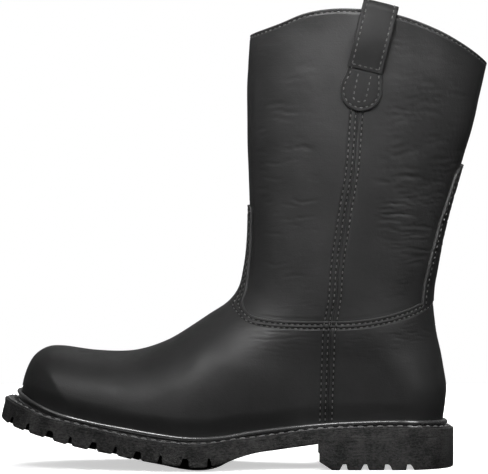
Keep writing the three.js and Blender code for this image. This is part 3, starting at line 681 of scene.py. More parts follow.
class Nodes:
    """A short way to wire procedural nodes into a material or the world."""

    def __init__(self, owner, shader, coordinates):
        owner.use_nodes = True
        self.owner, self.tree = owner, owner.node_tree
        self.shader = self.tree.nodes[shader]
        self.place = self.add("TexCoord").outputs[coordinates]

    def add(self, kind, inputs=(), **settings):
        node = self.tree.nodes.new("ShaderNode" + kind)
        for key, value in settings.items():
            setattr(node, key, value)
        for key, value in dict(inputs).items():
            if isinstance(value, bpy.types.NodeSocket):
                self.tree.links.new(value, node.inputs[key])
            else:
                node.inputs[key].default_value = value
        return node

    def stretched(self, x, y, z):
        return self.add("Mapping", {"Vector": self.place, "Scale": (x, y, z)}).outputs[0]

    def noise(self, scale, detail=4, roughness=0.55, place=None):
        inputs = {"Vector": place or self.place, "Scale": scale, "Detail": detail}
        return self.add("TexNoise", {**inputs, "Roughness": roughness}).outputs["Fac"]

    def cells(self, scale):
        return self.add("TexVoronoi", {"Vector": self.place, "Scale": scale}).outputs["Distance"]

    def ramp(self, value, *stops):
        node = self.add("ValToRGB", {"Fac": value})
        for element, (at, colour) in zip(node.color_ramp.elements, stops):
            element.position = at
            element.color = (*colour, 1)
        return node.outputs["Color"]

    def remap(self, value, low, high, to_low, to_high, **settings):
        keys = ("Value", "From Min", "From Max", "To Min", "To Max")
        inputs = dict(zip(keys, (value, low, high, to_low, to_high)))
        return self.add("MapRange", inputs, **settings).outputs["Result"]

    def math(self, operation, a, b):
        return self.add("Math", {0: a, 1: b}, operation=operation).outputs[0]

    def bumps(self, *layers):
        """Bump layers over each other, each as (height, depth in metres, strength)."""
        under = {}
        for height, depth, strength in layers:
            inputs = {"Height": height, "Distance": depth, "Strength": strength, **under}
            under = {"Normal": self.add("Bump", inputs).outputs["Normal"]}
        return under["Normal"]

    def finish(self, colour, roughness=None, normal=None):
        for key, value in (("Base Color", colour), ("Roughness", roughness), ("Normal", normal)):
            if value is not None:
                self.tree.links.new(value, self.shader.inputs[key])
        return self.owner


def principled(name, **values):
    n = Nodes(bpy.data.materials.new(name), "Principled BSDF", "Object")
    for socket, value in values.items():
        n.shader.inputs[socket.replace("_", " ")].default_value = value
    return n


def grey(value, warm=0.0):
    return (value * (1 + warm), value, value * (1 - warm))


def leather_material(name, tone=1.0, shine=0.0):
    n = principled(name, Specular_IOR_Level=0.2, Coat_Weight=0.03, Coat_Roughness=0.35)
    colour = n.ramp(n.noise(28, 6, 0.6), (0.3, grey(0.010 * tone)), (0.72, grey(0.018 * tone)))
    roughness = n.remap(n.noise(95, 5, 0.6), 0.3, 0.7, 0.40 - shine, 0.54 - shine)
    dents = n.noise(150, 5, 0.65)
    creases = n.noise(120, 6, 0.7, n.stretched(0.9, 0.5, 6.5))
    grain, pores = n.cells(1150), n.noise(2300, 3, 0.6)
    layers = (dents, 0.0005, 0.3), (creases, 0.0002, 0.25), (grain, 0.00012, 0.3), (pores, 0.00008, 0.4)
    return n.finish(colour, roughness, n.bumps(*layers))


def rubber_material(name, tone=1.0, grain=1.0):
    n = principled(name, Specular_IOR_Level=0.25)
    dust = n.noise(60, 6, 0.65)
    speckle = n.noise(620, 3, 0.8, n.stretched(0.7, 0.7, 1.5))
    mottle = n.math("ADD", n.math("MULTIPLY", dust, 0.45), n.math("MULTIPLY", speckle, 0.55))
    colour = n.ramp(mottle, (0.42, grey(0.003 * tone)), (0.60, grey(0.042 * tone, 0.02)))
    roughness = n.remap(n.noise(240, 4), 0.3, 0.7, 0.54, 0.72)
    lines = n.noise(160, 5, 0.7, n.stretched(0.35, 0.35, 7))
    pebble = n.noise(800, 4, 0.7)
    layers = (lines, 0.0006 * grain, 0.6), (pebble, 0.0007 * grain, 0.9)
    return n.finish(colour, roughness, n.bumps(*layers))


def bead_material(name):
    n = principled(name, Specular_IOR_Level=0.7, Coat_Weight=1.0, Coat_Roughness=0.13)
    colour = n.ramp(n.noise(70, 6, 0.6), (0.3, grey(0.012)), (0.8, grey(0.022)))
    roughness = n.remap(n.noise(180, 5), 0.3, 0.75, 0.16, 0.3)
    return n.finish(colour, roughness, n.bumps((n.noise(420, 4), 0.0002, 0.2)))


def thread_material(name, tone):
    n = principled(name, Specular_IOR_Level=0.4, Sheen_Weight=0.15)
    fibre = n.noise(1500, 4, 0.7)
    colour = n.ramp(fibre, (0.25, grey(tone * 0.6, 0.01)), (0.75, grey(tone * 1.25, 0.01)))
    twist = n.add("TexWave", {"Vector": n.place, "Scale": 900, "Distortion": 1.5}).outputs["Fac"]
    return n.finish(colour, n.remap(fibre, 0.3, 0.7, 0.5, 0.75), n.bumps((twist, 0.0002, 0.5)))


def cloth_material(name, dark, light, scale=700):
    n = principled(name, Specular_IOR_Level=0.2, Sheen_Weight=0.25, Sheen_Roughness=0.5)
    warp = n.noise(scale, 2, 0.5, n.stretched(1, 1, 0.12))
    weft = n.noise(scale, 2, 0.5, n.stretched(0.14, 0.14, 1))
    weave = n.math("MULTIPLY", warp, weft)
    soil = n.noise(30, 5)
    colour = n.ramp(n.math("MULTIPLY", weave, soil), (0.06, dark), (0.2, light))
    return n.finish(colour, n.remap(soil, 0.3, 0.7, 0.84, 0.96), n.bumps((weave, 0.0003, 0.6)))


def steel_material(name):
    n = principled(name, Metallic=1.0)
    brushed = n.noise(300, 5, 0.7, n.stretched(12, 1, 1))
    colour = n.ramp(n.noise(45, 5), (0.3, grey(0.38)), (0.7, grey(0.52)))
    return n.finish(colour, n.remap(brushed, 0.3, 0.7, 0.28, 0.45), n.bumps((brushed, 0.0001, 0.4)))


def granular_material(name, dark, light, scale, rough=0.9):
    n = principled(name, Specular_IOR_Level=0.25)
    grains = n.cells(scale)
    colour = n.ramp(grains, (0.1, dark), (0.8, light))
    roughness = n.remap(n.noise(200, 4), 0.3, 0.7, rough - 0.1, rough)
    return n.finish(colour, roughness, n.bumps((grains, 0.0006, 0.6)))


leather = leather_material("oiled_leather")
# half-tone copy of the leather for straps and tabs: painted shade where the shaft lamp falls hardest
shaded_strap_leather = leather_material("shaded_strap_leather", 0.5, -0.18)
# paler leather for cut edges and their rounding: a painted highlight along the edge
cut_edge_highlight = leather_material("cut_leather_edge_painted_highlight", 1.7, -0.02)
# darker leather for the bands round stitch rows: painted shade in the thread grooves
groove_shade_leather = leather_material("stitched_leather_painted_shade", 0.25, -0.2)
rubber = rubber_material("sole_rubber", 1.15)
heel_rubber = rubber_material("heel_rubber", 0.85, 0.9)
welt_rubber = bead_material("welt_rubber")
thread = thread_material("upper_thread", 0.068)
welt_thread = thread_material("welt_thread", 0.12)
lining_cloth = cloth_material("lining_cloth", (0.16, 0.12, 0.08), (0.42, 0.34, 0.24))
cover_cloth = cloth_material("footbed_cloth", grey(0.02), grey(0.07), 900)
tape_cloth = cloth_material("tape_cloth", grey(0.02), grey(0.06), 800)
foam = granular_material("footbed_foam", grey(0.02), grey(0.06), 900)
steel = steel_material("pressed_steel")
cork = granular_material("cork", (0.16, 0.08, 0.03), (0.5, 0.32, 0.17), 420)
board = granular_material("fibre_board", (0.24, 0.19, 0.12), (0.44, 0.36, 0.25), 800)
plastic = granular_material("counter_plastic", grey(0.5, 0.03), grey(0.62, 0.04), 300, 0.6)

# ---------------------------------------------------------------- the upper


def leather_relief(sheet):
    """Soft waves and creases of worn-in leather, in millimetres over the common surface."""
    x, y, z = sheet.data[:, :3].T
    side = np.sign(x) * 40
    calm = smoothstep(2, 16, np.abs(sheet["foot"])) * smoothstep(2, 12, np.abs(sheet["front"]))
    calm = calm * smoothstep(2, 18, sheet["top"])
    waves = 0.8 * noise((y + side) / 42, z / 60, 1) + 0.35 * noise((y - side) / 17, z / 24, 2)
    fine = noise((y + side + z * 0.12) / 21, z / 2.3 + 1.3 * noise(y / 15, z / 12, 5), 3)
    finer = noise((y + side - z * 0.1) / 11, z / 1.5 + noise(y / 9, z / 8, 8), 9)
    finer = smoothstep(0.05, 0.4, finer)
    patchy = smoothstep(-0.35, 0.3, noise((y + side) / 22, z / 16, 6))
    shaft = smoothstep(100, 130, z)
    rear = smoothstep(86, 108, y) * (1 - smoothstep(150, 163, y))
    rear = rear * (0.35 + bell(z, 190, 34) + 0.6 * bell(z, 252, 18))
    front = smoothstep(6, 14, y) * (1 - smoothstep(44, 60, y)) * (0.3 + bell(z, 215, 60))
    ankle = bell(z, 104, 22) * smoothstep(-15, 10, y)
    creases = shaft * rear * (0.6 * smoothstep(0, 0.45, fine) * patchy + 0.28 * finer)
    creases += shaft * front * 0.34 * smoothstep(0.05, 0.45, fine) * patchy
    creases += (1 - shaft) * ankle * 0.22 * finer
    return calm * (waves * (0.35 + 0.65 * shaft) - creases)


def panel(foot_side, front_side):
    """A test for one panel: +1 is under the foot seam or before the side seam, -1 over or behind it."""
    return lambda f: (f["foot"] * foot_side > 0) & (f["front"] * front_side > 0)


# Masks of the bands round stitch rows, which shell paints darker as shade in the grooves.
def near_rows(distance, rows):
    return [np.abs(distance - at) < EDGE_BAND for at in rows]


def upper_leather():
    """Vamp, heel counter and the two shaft panels, with their stitch rows."""
    sheet = Sheet()
    sheet.cut("foot", -4, 0, 0.2, 0.6, 1.2, 1.8, 2.4, 3.0, 4.6, 5.2, 5.8, 9, 12, 15)
    sheet.cut("front", 0, 0.2, -0.2, 0.6, -0.6, 0.9, 1.5, 2.1, 4.5, 5.1, 5.7, -2.6, -3.2, -3.8)
    sheet.cut("top", 0.25, 0.7, 1.3, 2.5, TOP_ROW, 3.7)
    foot, front, top = sheet["foot"], sheet["front"], sheet["top"]
    relief = leather_relief(sheet)
    side_drop = edge_drop(np.abs(front), 0.55) + 0.35 * bell(front, 0, 1.6)
    side_drop = side_drop + sum(thread_groove(front, at) for at in SIDE_ROWS)
    lifted = LAP * (1 - smoothstep(7, 32, foot))
    foot_outer = relief + lifted - edge_drop(foot) - side_drop
    foot_outer = foot_outer - sum(thread_groove(foot, at) for at in SEAM_ROWS)
    foot_inner = np.minimum(LEATHER[1] + lifted, foot_outer - THINNEST)
    shaft_outer = relief - side_drop - edge_drop(top, 0.9) - thread_groove(top, TOP_ROW)
    shaft_outer = np.where(foot > -2.5, np.minimum(shaft_outer, -0.12), shaft_outer)
    shaft_inner = np.minimum(LEATHER[1], shaft_outer - THINNEST)

    # trim: the bands along the foot seam's edge and the top edge, painted paler as a highlight on the rounded
    # edge
    trim = ((foot > -0.01) & (foot < EDGE_BAND)) | (top < 0.71)
    # rows: the bands round stitch rows, painted darker as shade in the thread grooves
    rows = near_rows(foot, SEAM_ROWS) + near_rows(front, SIDE_ROWS)
    heights = {1: (foot_outer, foot_inner), -1: (shaft_outer, shaft_inner)}
    kept = {1: [], -1: []}
    names = {"vamp": (1, 1), "heel_counter": (1, -1), "shaft_front": (-1, 1), "shaft_back": (-1, -1)}
    for name, sides in names.items():
        polygons = sheet.polygons(panel(*sides))
        kept[sides[0]] += polygons
        obj = shell(name + "_leather", sheet, polygons, *heights[sides[0]], leather, trim, rows)
        fit(obj, name)

    stitch_row("foot_seam_stitches", rows_on(sheet, kept[1], foot_outer, "foot", SEAM_ROWS))
    for name, key in (("foot", 1), ("shaft", -1)):
        paths = rows_on(sheet, kept[key], heights[key][0], "front", SIDE_ROWS, 20)
        stitch_row(name + "_side_seam_stitches", paths)
    stitch_row("top_edge_stitches", rows_on(sheet, kept[-1], shaft_outer, "top", [TOP_ROW]))


def overlay(name, sheet, keep, field, row_at, node, body=None, sink=0):
    """A patch of leather on top of the shaft, with one stitch row round it."""
    sheet.cut(field, 0, 0.2, 0.6, 1.2, row_at - 0.6, row_at, row_at + 0.6)
    polygons = sheet.polygons(keep)
    relief, distance = leather_relief(sheet), sheet[field]
    outer = relief + OVERLAY[0] - edge_drop(distance, 0.8) - thread_groove(distance, row_at, 0.25)
    outer = outer - sink * smoothstep(*TAB_TUCK, sheet["tab_up"])
    inner = np.minimum(relief + OVERLAY[1], outer - 0.3)
    # Tabs riding the shaft take the darker strap copy, painted shade against the shaft lamp.
    material = shaded_strap_leather if body else leather
    # trim gets the painted highlight along the edge; rows get the painted shade in the thread's groove
    trim, rows = distance < EDGE_BAND, near_rows(distance, [row_at])
    fit(shell(name, sheet, polygons, outer, inner, material, trim, rows), node, body)
    stitch_row(name + "_stitches", rows_on(sheet, polygons, outer, field, [row_at]), body)


def backstay():
    sheet = Sheet(slice(60, 300), np.arange(AROUND - 70, AROUND + 71))
    sheet.cut("foot", BACKSTAY_UNDER)
    keep = lambda f: (f["stay"] > 0) & (f["foot"] < BACKSTAY_UNDER)
    overlay("backstay_leather", sheet, keep, "stay", BACKSTAY_ROW, "backstay")


def linings():
    """The cloth layers inside the leather, and the tapes behind the side seams."""
    sheet = Sheet()
    sheet.cut("foot", 0)
    sheet.cut("front", 0, TAPE_HALF_WIDTH, -TAPE_HALF_WIDTH)
    sheet.cut("top", 0.25, 0.7, 1.3, 6)
    foot, top = sheet["foot"], sheet["top"]
    into_foot = smoothstep(-14, 4, foot)
    rim = 1 - smoothstep(1.3, 6, top)
    outer = mix(SHAFT_LINING[0], FOOT_LINING[0], into_foot)
    outer = mix(outer, LEATHER[1] - 0.1, rim) - edge_drop(top, 0.5)
    inner = mix(SHAFT_LINING[1], FOOT_LINING[1], into_foot) + edge_drop(top, 0.7)
    names = {
        "vamp_lining": (1, 1), "heel_lining": (1, -1),
        "shaft_lining_front": (-1, 1), "shaft_lining_back": (-1, -1),
    }
    for name, sides in names.items():
        polygons = sheet.polygons(panel(*sides))
        fit(shell(name + "_cloth", sheet, polygons, outer, inner, lining_cloth), name)
    tape_outer, tape_inner = (np.full(len(foot), height) for height in TAPE)
    for name, side in (("lateral", 1), ("medial", -1)):
        polygons = sheet.polygons(
            lambda f: (np.abs(f["front"]) < TAPE_HALF_WIDTH) & (f["x"] * side > 0)
            & (f["z"] > TAPE_FROM) & (f["z"] < TAPE_TO)
        )
        obj = shell(name + "_tape_cloth", sheet, polygons, tape_outer, tape_inner, tape_cloth)
        fit(obj, name + "_seam_tape")


# ---------------------------------------------------------------- pull straps


def strap_path(side):
    """The strap's inner face in the front view, and its outward normals."""
    near = float(shaft_width(STRAP["top"])) + STRAP["clear"]
    far = float(shaft_width(STRAP["inner"])) + SHAFT_LINING[1] - 0.8
    middle, hollow = (near + far) / 2, (near - far) / 2
    arch = STRAP["top"] - hollow - STRAP["thickness"]
    low = float(shaft_width(STRAP["outer"])) + STRAP["clear"] + 0.1
    turn = np.linspace(0, math.pi, 25)
    share = np.linspace(0, 1, 40)
    bulge = STRAP["bulge"] * np.sin(math.pi * share) ** 1.5 * (1 - 0.3 * share)
    outer_leg = np.column_stack([mix(low, near, share) + bulge, mix(STRAP["outer"], arch, share)])
    arc = np.column_stack([middle + hollow * np.cos(turn), arch + hollow * np.sin(turn)])
    path = np.vstack([outer_leg[:-1], arc, [[far, STRAP["inner"]]]])
    path[:, 0] *= side
    path = resample(path, 130)
    tangent = unit(np.gradient(path, axis=0))
    return path, np.column_stack([tangent[:, 1], -tangent[:, 0]]) * side


def tilted(points):
    """Leans strap points (x, along y, z) by the strap's tilt about its own centre."""
    turn = -math.radians(STRAP["tilt"])
    x, y, z = points.T
    dz = z - STRAP["z"]
    along = STRAP["y"] + y * math.cos(turn) - dz * math.sin(turn)
    return np.column_stack([x, along, STRAP["z"] + y * math.sin(turn) + dz * math.cos(turn)])


def pull_strap(name, side):
    path, out = strap_path(side)
    half, thick = STRAP["width"] / 2, STRAP["thickness"]
    corner = [(EDGE_RADIUS, 0), (0.2, 0.2), (0, EDGE_RADIUS)]
    profile = [(a - half, thick - b) for a, b in corner] + [(a - half, b) for a, b in corner[::-1]]
    profile += [(0, 0), *((half - a, b) for a, b in corner)]
    profile += [(half - a, thick - b) for a, b in corner[::-1]]
    thread_rows = (3.0 - half, half - 3.0)
    groove_steps = half - np.array([1.8, 2.6, 3.0, 3.4])
    for u in np.r_[groove_steps, np.linspace(6, -6, 7), -groove_steps[::-1]]:
        grooves = sum(thread_groove(u, at, 0.25, 0.5) for at in thread_rows)
        profile.append((u, thick + 0.12 * (1 - (u / half) ** 2) - grooves))
    u, height = np.array(profile).T
    section = path[:, None] + out[:, None] * height[:, None]
    layers = [section[..., 0], np.broadcast_to(u, section.shape[:2]), section[..., 1]]
    faces = tube_faces(len(path), len(profile))
    if side > 0:
        faces = [face[::-1] for face in faces]
    vertices = tilted(np.stack(layers, axis=2).reshape(-1, 3))
    # the strap's darker leather copy is painted shade against the shaft lamp
    obj = new_object(name + "_shaded_strap_leather", vertices, faces, shaded_strap_leather)
    sharpen(obj, 50)
    fit(obj, name + "_pull_strap", "shaft")

    paths = []
    up = out[2:122]
    on = path[2:122] + up * (thick - 0.1)
    for u in thread_rows:
        points = np.column_stack([on[:, 0], np.full(len(on), u), on[:, 1]])
        paths.append((tilted(points), np.column_stack([up[:, 0], np.zeros(len(on)), up[:, 1]])))
    across = np.linspace(2.4 - half, half - 2.4, 20)
    foot_x = path[3, 0] + out[3, 0] * thick
    foot_of_strap = np.column_stack([np.full(20, foot_x), across, np.full(20, path[3, 1])])
    paths.append((tilted(foot_of_strap), np.tile([side, 0.0, 0.0], (20, 1))))
    stitch_row(name + "_strap_stitches", paths, "shaft")


def strap_tab(name, side):
    middle = AROUND // 2 if side > 0 else RING - AROUND // 2
    sheet = Sheet(slice(230, 322), np.arange(middle - 32, middle + 33))
    sheet.cut("tab_up", *TAB_TUCK)
    keep = lambda f: f["tab"] > 0
    node = name + "_strap_tab"
    overlay(name + "_tab_leather", sheet, keep, "tab", TAB_ROW, node, "shaft", OVERLAY[0] - 0.4)
    reach, low, high = 4.4, -5.5, TAB_TUCK[0] - 1.5
    turn = np.linspace(math.pi, 2 * math.pi, 16)
    across = np.r_[np.full(8, -reach), reach * np.cos(turn), np.full(8, reach)]
    leg = np.linspace(high, low, 8)
    up = np.r_[leg, low + reach * np.sin(turn) * 0.6, leg[::-1]]
    lean = math.radians(TAB["tilt"])
    y = TAB["y"] + across * math.cos(lean) + up * math.sin(lean)
    z = TAB["z"] - across * math.sin(lean) + up * math.cos(lean)
    points, normals = on_upper(y, z, side)
    stitch_row(name + "_tab_inner_stitches", [(points + normals * (OVERLAY[0] - 0.05), normals)], "shaft")


# ---------------------------------------------------------------- the sole unit


def outline(extra):
    """The upper's outline at the welt, grown outward by extra, one number or one a point."""
    foot = surface[0, :, :2]
    along = np.roll(foot, -1, axis=0) - np.roll(foot, 1, axis=0)
    out = unit(np.column_stack([along[:, 1], -along[:, 0]]))
    return foot + out * np.broadcast_to(extra, RING)[:, None]


FOOT_Y = surface[0, :, 1]
MARGIN = sole_margin(FOOT_Y)
FLARE = MARGIN + TOE_FLARE * (1 - smoothstep(*TOE_FLARE_SPAN, FOOT_Y))


def ring(extra, height):
    """A loop at an offset from the upper's outline; height is a function of y."""
    edge = outline(extra)
    return np.column_stack([edge, height(edge[:, 1])])


def flat(y):
    return 0.0


def loft(name, loops, material, crown=flat):
    """A closed body through loops from its top face down to its bottom face."""
    vertices, faces = [*loops], []
    for a in range(0, (len(loops) - 1) * RING, RING):
        for k in range(RING):
            n = (k + 1) % RING
            faces.append((a + k, a + RING + k, a + RING + n, a + n))
    count = len(loops) * RING
    for loop_index, drop, down in ((0, flat, False), (len(loops) - 1, crown, True)):
        loop = loops[loop_index]
        grid = {}
        for a in range(AROUND + 1):
            lateral, medial = a, (RING - a) % RING
            for i, share in enumerate(np.linspace(0, 1, CELLS_ACROSS + 1)):
                if a in (0, AROUND) or i == CELLS_ACROSS:
                    grid[a, i] = loop_index * RING + lateral
                elif i == 0:
                    grid[a, i] = loop_index * RING + medial
                else:
                    edge = min(share, 1 - share) * np.linalg.norm(loop[medial] - loop[lateral])
                    point = mix(loop[medial], loop[lateral], share)
                    point = point - np.array([0, 0, drop(point[1]) * smoothstep(0, 14, edge)])
                    grid[a, i] = count
                    vertices.append(point[None])
                    count += 1
        for a in range(AROUND):
            for i in range(CELLS_ACROSS):
                face = [grid[a, i], grid[a, i + 1], grid[a + 1, i + 1], grid[a + 1, i]]
                face = list(dict.fromkeys(face))
                if len(face) > 2:
                    faces.append(face[::-1] if down else face)
    obj = new_object(name, np.vstack(vertices), faces, material)
    sharpen(obj, 35)
    return obj


def cutter(outline_points, low, high, axis="x"):
    """A closed prism whose outline lies across the given axis."""
    points = np.array(outline_points, float)
    n = len(points)
    order = {"x": (2, 0, 1), "z": (0, 1, 2)}[axis]
    layers = [np.column_stack([points, np.full(n, value)])[:, order] for value in (low, high)]
    faces = [tuple(range(n))[::-1], tuple(range(n, 2 * n))]
    faces += [(i, (i + 1) % n, (i + 1) % n + n, i + n) for i in range(n)]
    obj = new_object("cutter", np.vstack(layers), faces, rubber, smooth=False)
    bm = bmesh.new()
    bm.from_mesh(obj.data)
    bmesh.ops.recalc_face_normals(bm, faces=bm.faces)
    bm.to_mesh(obj.data)
    bm.free()
    return obj


def boolean(obj, other, operation="DIFFERENCE"):
    """Applies one boolean to obj and removes the other object."""
    modifier = obj.modifiers.new("cut", "BOOLEAN")
    modifier.operation, modifier.solver, modifier.object = operation, "MANIFOLD", other
    mesh = bpy.data.meshes.new_from_object(obj.evaluated_get(bpy.context.evaluated_depsgraph_get()))
    obj.modifiers.clear()
    old, obj.data = obj.data, mesh
    bpy.data.meshes.remove(old)
    bpy.data.objects.remove(other)


def finish_rubber(piece, node):
    piece.data.shade_smooth()
    sharpen(piece, 32)
    fit(piece, node, "foot")


def notch_outline(y, height, top_width, mouth_width, slope):
    """A tread notch in the side view, narrower at its top, with chamfered lips."""
    half, mouth, lip = top_width / 2, mouth_width / 2, NOTCH_LIP
    right = [(half - 0.4, height), (half, height - 0.4), (mouth, lip), (mouth + lip * 2.2, -lip)]
    shape = [(0.4 - half, height), *right, *((-u, v) for u, v in right[:0:-1])]
    turn = math.atan(slope)
    base = float(outsole_bottom(y))
    return [(y + u * math.cos(turn) - v * math.sin(turn), base + u * math.sin(turn) + v * math.cos(turn))
            for u, v in shape]


def bottom_slope(y):
    return float(outsole_bottom(y + 1) - outsole_bottom(y - 1)) / 2


def side_notches(outsole):
    """Cuts the forepart's side notches, clear of the middle of the tread."""
    edge = outline(FLARE)
    for y in NARROW_NOTCHES + WIDE_NOTCHES:
        widths = (3.8, 6.0) if y in WIDE_NOTCHES else (1.7, 3.4)
        shape = notch_outline(y, NOTCH_DEPTH, *widths, bottom_slope(y))
        near = edge[np.abs(edge[:, 1] - y) < 2.5, 0]
        for side in (1, -1):
            start = max(NOTCH_CORE, side * near[near * side > 0].mean() - NOTCH_LENGTH)
            boolean(outsole, cutter(shape, *sorted((side * start, side * PAST))))


def tread_middle(outsole):
    """The channel inside the side lugs and the grooves between the middle bars."""
    def inside(offset):
        return cutter(outline(FLARE - offset)[::4], -60, 90, "z")

    rear = cutter([(TREAD_REAR, -50), (200, -50), (200, 100), (TREAD_REAR, 100)], -PAST, PAST)
    lug_ends = FLARE - NOTCH_LENGTH
    channel = loft("channel", [
        ring(lug_ends, lambda y: outsole_bottom(y) + NOTCH_DEPTH - sole_crown(y)),
        ring(lug_ends, lambda y: outsole_bottom(y) - 20),
    ], rubber)
    boolean(channel, inside(NOTCH_LENGTH + CHANNEL_WIDTH))
    boolean(channel, rear)
    boolean(outsole, channel)
    places = sorted(NARROW_NOTCHES + WIDE_NOTCHES)[1:]
    for y in [(a + b) / 2 for a, b in zip(places, places[1:])]:
        depth = NOTCH_DEPTH - float(sole_crown(y))
        shape = notch_outline(y, depth, BAR_GROOVE, BAR_GROOVE + 1, bottom_slope(y))
        floor = float(outsole_bottom(y)) - 0.5
        bar = cutter([(a, b if b > floor else b - 8) for a, b in shape], -PAST, PAST)
        boolean(bar, inside(NOTCH_LENGTH + CHANNEL_WIDTH - 0.5), "INTERSECT")
        boolean(outsole, bar)


def outsole():
    def bottom(y):
        return np.where(y > HEEL_FRONT + 1, HEEL_TOP + HEEL_SEAT_GAP, outsole_bottom(y))

    top_edge = ((1.2, 0), (0.7, 0.02), (0.2, 0.25), (0, 0.8), (0, 1.9), (0.15, 2.05), (0.15, 2.3), (0, 2.5))
    loops = [ring(MARGIN - inset, lambda y: outsole_top(y) - drop) for inset, drop in top_edge]
    for share in (0.1, 0.35, 0.6, 0.85):
        loops.append(ring(mix(MARGIN, FLARE, share), lambda y: mix(outsole_top(y) - 3, bottom(y) + 1, share)))
    soft = np.where(FOOT_Y > HEEL_FRONT + 1, 0.3, 1.0)
    for inset, lift in ((0, 0.8), (0.25 * soft, 0.25 * soft), (0.9 * soft, 0)):
        loops.append(ring(FLARE - inset, lambda y: bottom(y) + lift))
    piece = loft("outsole_rubber", loops, rubber, sole_crown)
    side_notches(piece)
    tread_middle(piece)
    finish_rubber(piece, "outsole")


def heel_block():
    profile = [
        (-0.3, HEEL_TOP), (-0.08, HEEL_TOP - 0.06), (0, HEEL_TOP - 0.3), (0, HEEL_TOP - 2),
        (0, 14), (0, 8), (-0.1, 3), (-0.2, 1.2), (-0.5, 0.35), (-1.2, 0),
    ]
    loops = [ring(MARGIN + grown, lambda y: np.full_like(y, z)) for grown, z in profile]
    piece = loft("heel_rubber_block", loops, heel_rubber)
    boolean(piece, cutter([(-250, -5), (HEEL_FRONT, -5), (HEEL_FRONT, 40), (-250, 40)], -PAST, PAST))
    centre = HEEL_FRONT + BREAST_DEPTH - BREAST_RADIUS
    turn = np.linspace(0, 2 * math.pi, 240, endpoint=False)
    arc = [(BREAST_RADIUS * math.cos(t), centre + BREAST_RADIUS * math.sin(t)) for t in turn]
    boolean(piece, cutter(arc, -5, 40, "z"))
    length, height = HEEL_CHAMFER
    corner = HEEL_FRONT - length
    chamfer = [(corner, -height), (corner + 3 * length, -height), (corner, 2 * height)]
    boolean(piece, cutter(chamfer, -PAST, PAST))
    for i, y in enumerate(HEEL_NOTCHES):
        lean = y + (0.9 if i < 2 else -0.4)
        shape = [
            (lean - 1.2, 4.6), (lean + 1.2, 4.6), (lean + 1.6, 4.2), (y + 2.5, 0.9),
            (y + 3.6, -1), (y - 3.6, -1), (y - 2.5, 0.9), (lean - 1.6, 4.2),
        ]
        for low, high in ((HEEL_CORE, PAST), (-PAST, -HEEL_CORE)):
            boolean(piece, cutter(shape, low, high))
        boolean(piece, cutter([(a, min(b, 2.2)) for a, b in shape[1:]], -PAST, PAST))
    finish_rubber(piece, "heel_block")


def welt():
    """A flange that is stitched down, and a glossy bead that rises against the leather."""
    flange = MARGIN - WELT_INSET
    stitch = flange - STITCH_INSET
    rise = bead_top(FOOT_Y) - outsole_top(FOOT_Y)
    bead = np.minimum(BEAD_WIDTH + 0.3, stitch - 0.3)
    inner, stitch_height = 1.5, 0.95
    profile = [
        (-inner, rise - 3), (0.0, rise - 0.9), (0.5, rise - 0.3), (1.0, rise - 0.05), (inner, rise),
        (mix(inner, bead, 0.35), rise - 0.12), (mix(inner, bead, 0.65), rise - 0.45),
        (mix(inner, bead, 0.87), rise - 0.95), (mix(inner, bead, 0.98), rise - 1.6),
        (bead, rise - 2.2), (bead - 0.15, rise - 2.8), (bead - 0.55, rise - 3.25),
        (bead - 1.2, rise - 3.5), (bead - 1.5, 1.7), (bead - 1.3, 1.45),
        (np.minimum(bead - 0.8, stitch - 0.8), 1.3), (stitch - 0.5, 1.1), (stitch - 0.2, 0.8),
        (stitch + 0.2, 0.75), (stitch + 0.45, 0.95), (flange - 0.4, 0.95), (flange - 0.12, 0.8),
        (flange, 0.5), (flange, 0.3), (flange - 0.3, 0.08), (stitch, stitch_height),
    ]
    *loops, path = [ring(extra, lambda y: outsole_top(y) + lift) for extra, lift in profile]
    fit(loft("storm_welt", loops, welt_rubber), "welt", "foot")
    path = np.vstack([path, path[:1]])
    up = np.tile([0.0, 0.0, 1.0], (len(path), 1))
    threads = stitches("welt_stitches", [(path, up)], welt_thread, **WELT_STITCH)
    fit(threads, "welt_stitching", "foot")


def footbed():
    """The loose foam footbed and its cloth cover, with a raised rim."""
    base = -FOOTBED_INSET
    layers = (
        ("footbed_foam_pad", foam, "footbed", "foam", 6.4, 11.4, 0.6),
        ("footbed_cover_cloth", cover_cloth, "footbed_cover", "cover", 11.5, 12.5, 0.5),
    )
    for name, material, node, slot, low, high, soft in layers:
        profile = [
            (base - 4, high, 0), (base - 1.4, high, 0.5), (base - soft, high, 0.9),
            (base, high - soft * 0.6, 0.8), (base, low + soft * 0.4, 0.4), (base - soft, low, 0),
        ]
        loops = [
            ring(extra, lambda y: outsole_top(y) + height + cup * smoothstep(-40, 60, y))
            for extra, height, cup in profile
        ]
        piece = loft(name, loops, material)
        fit(piece, node, "footbed")


def hidden_parts():
    """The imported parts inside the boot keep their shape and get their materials."""
    finishes = {
        "steel_toe_cap": steel, "toe_cap_gasket": rubber, "heel_stiffener": plastic,
        "midsole": rubber, "cork_filler": cork, "steel_shank": steel, "insole_board": board,
        **{f"heel_nail_{i}": steel for i in range(1, 6)},
    }
    for node, material in finishes.items():
        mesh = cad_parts[node].data
        mesh.materials.clear()
        mesh.materials.append(material)


# ---------------------------------------------------------------- studio


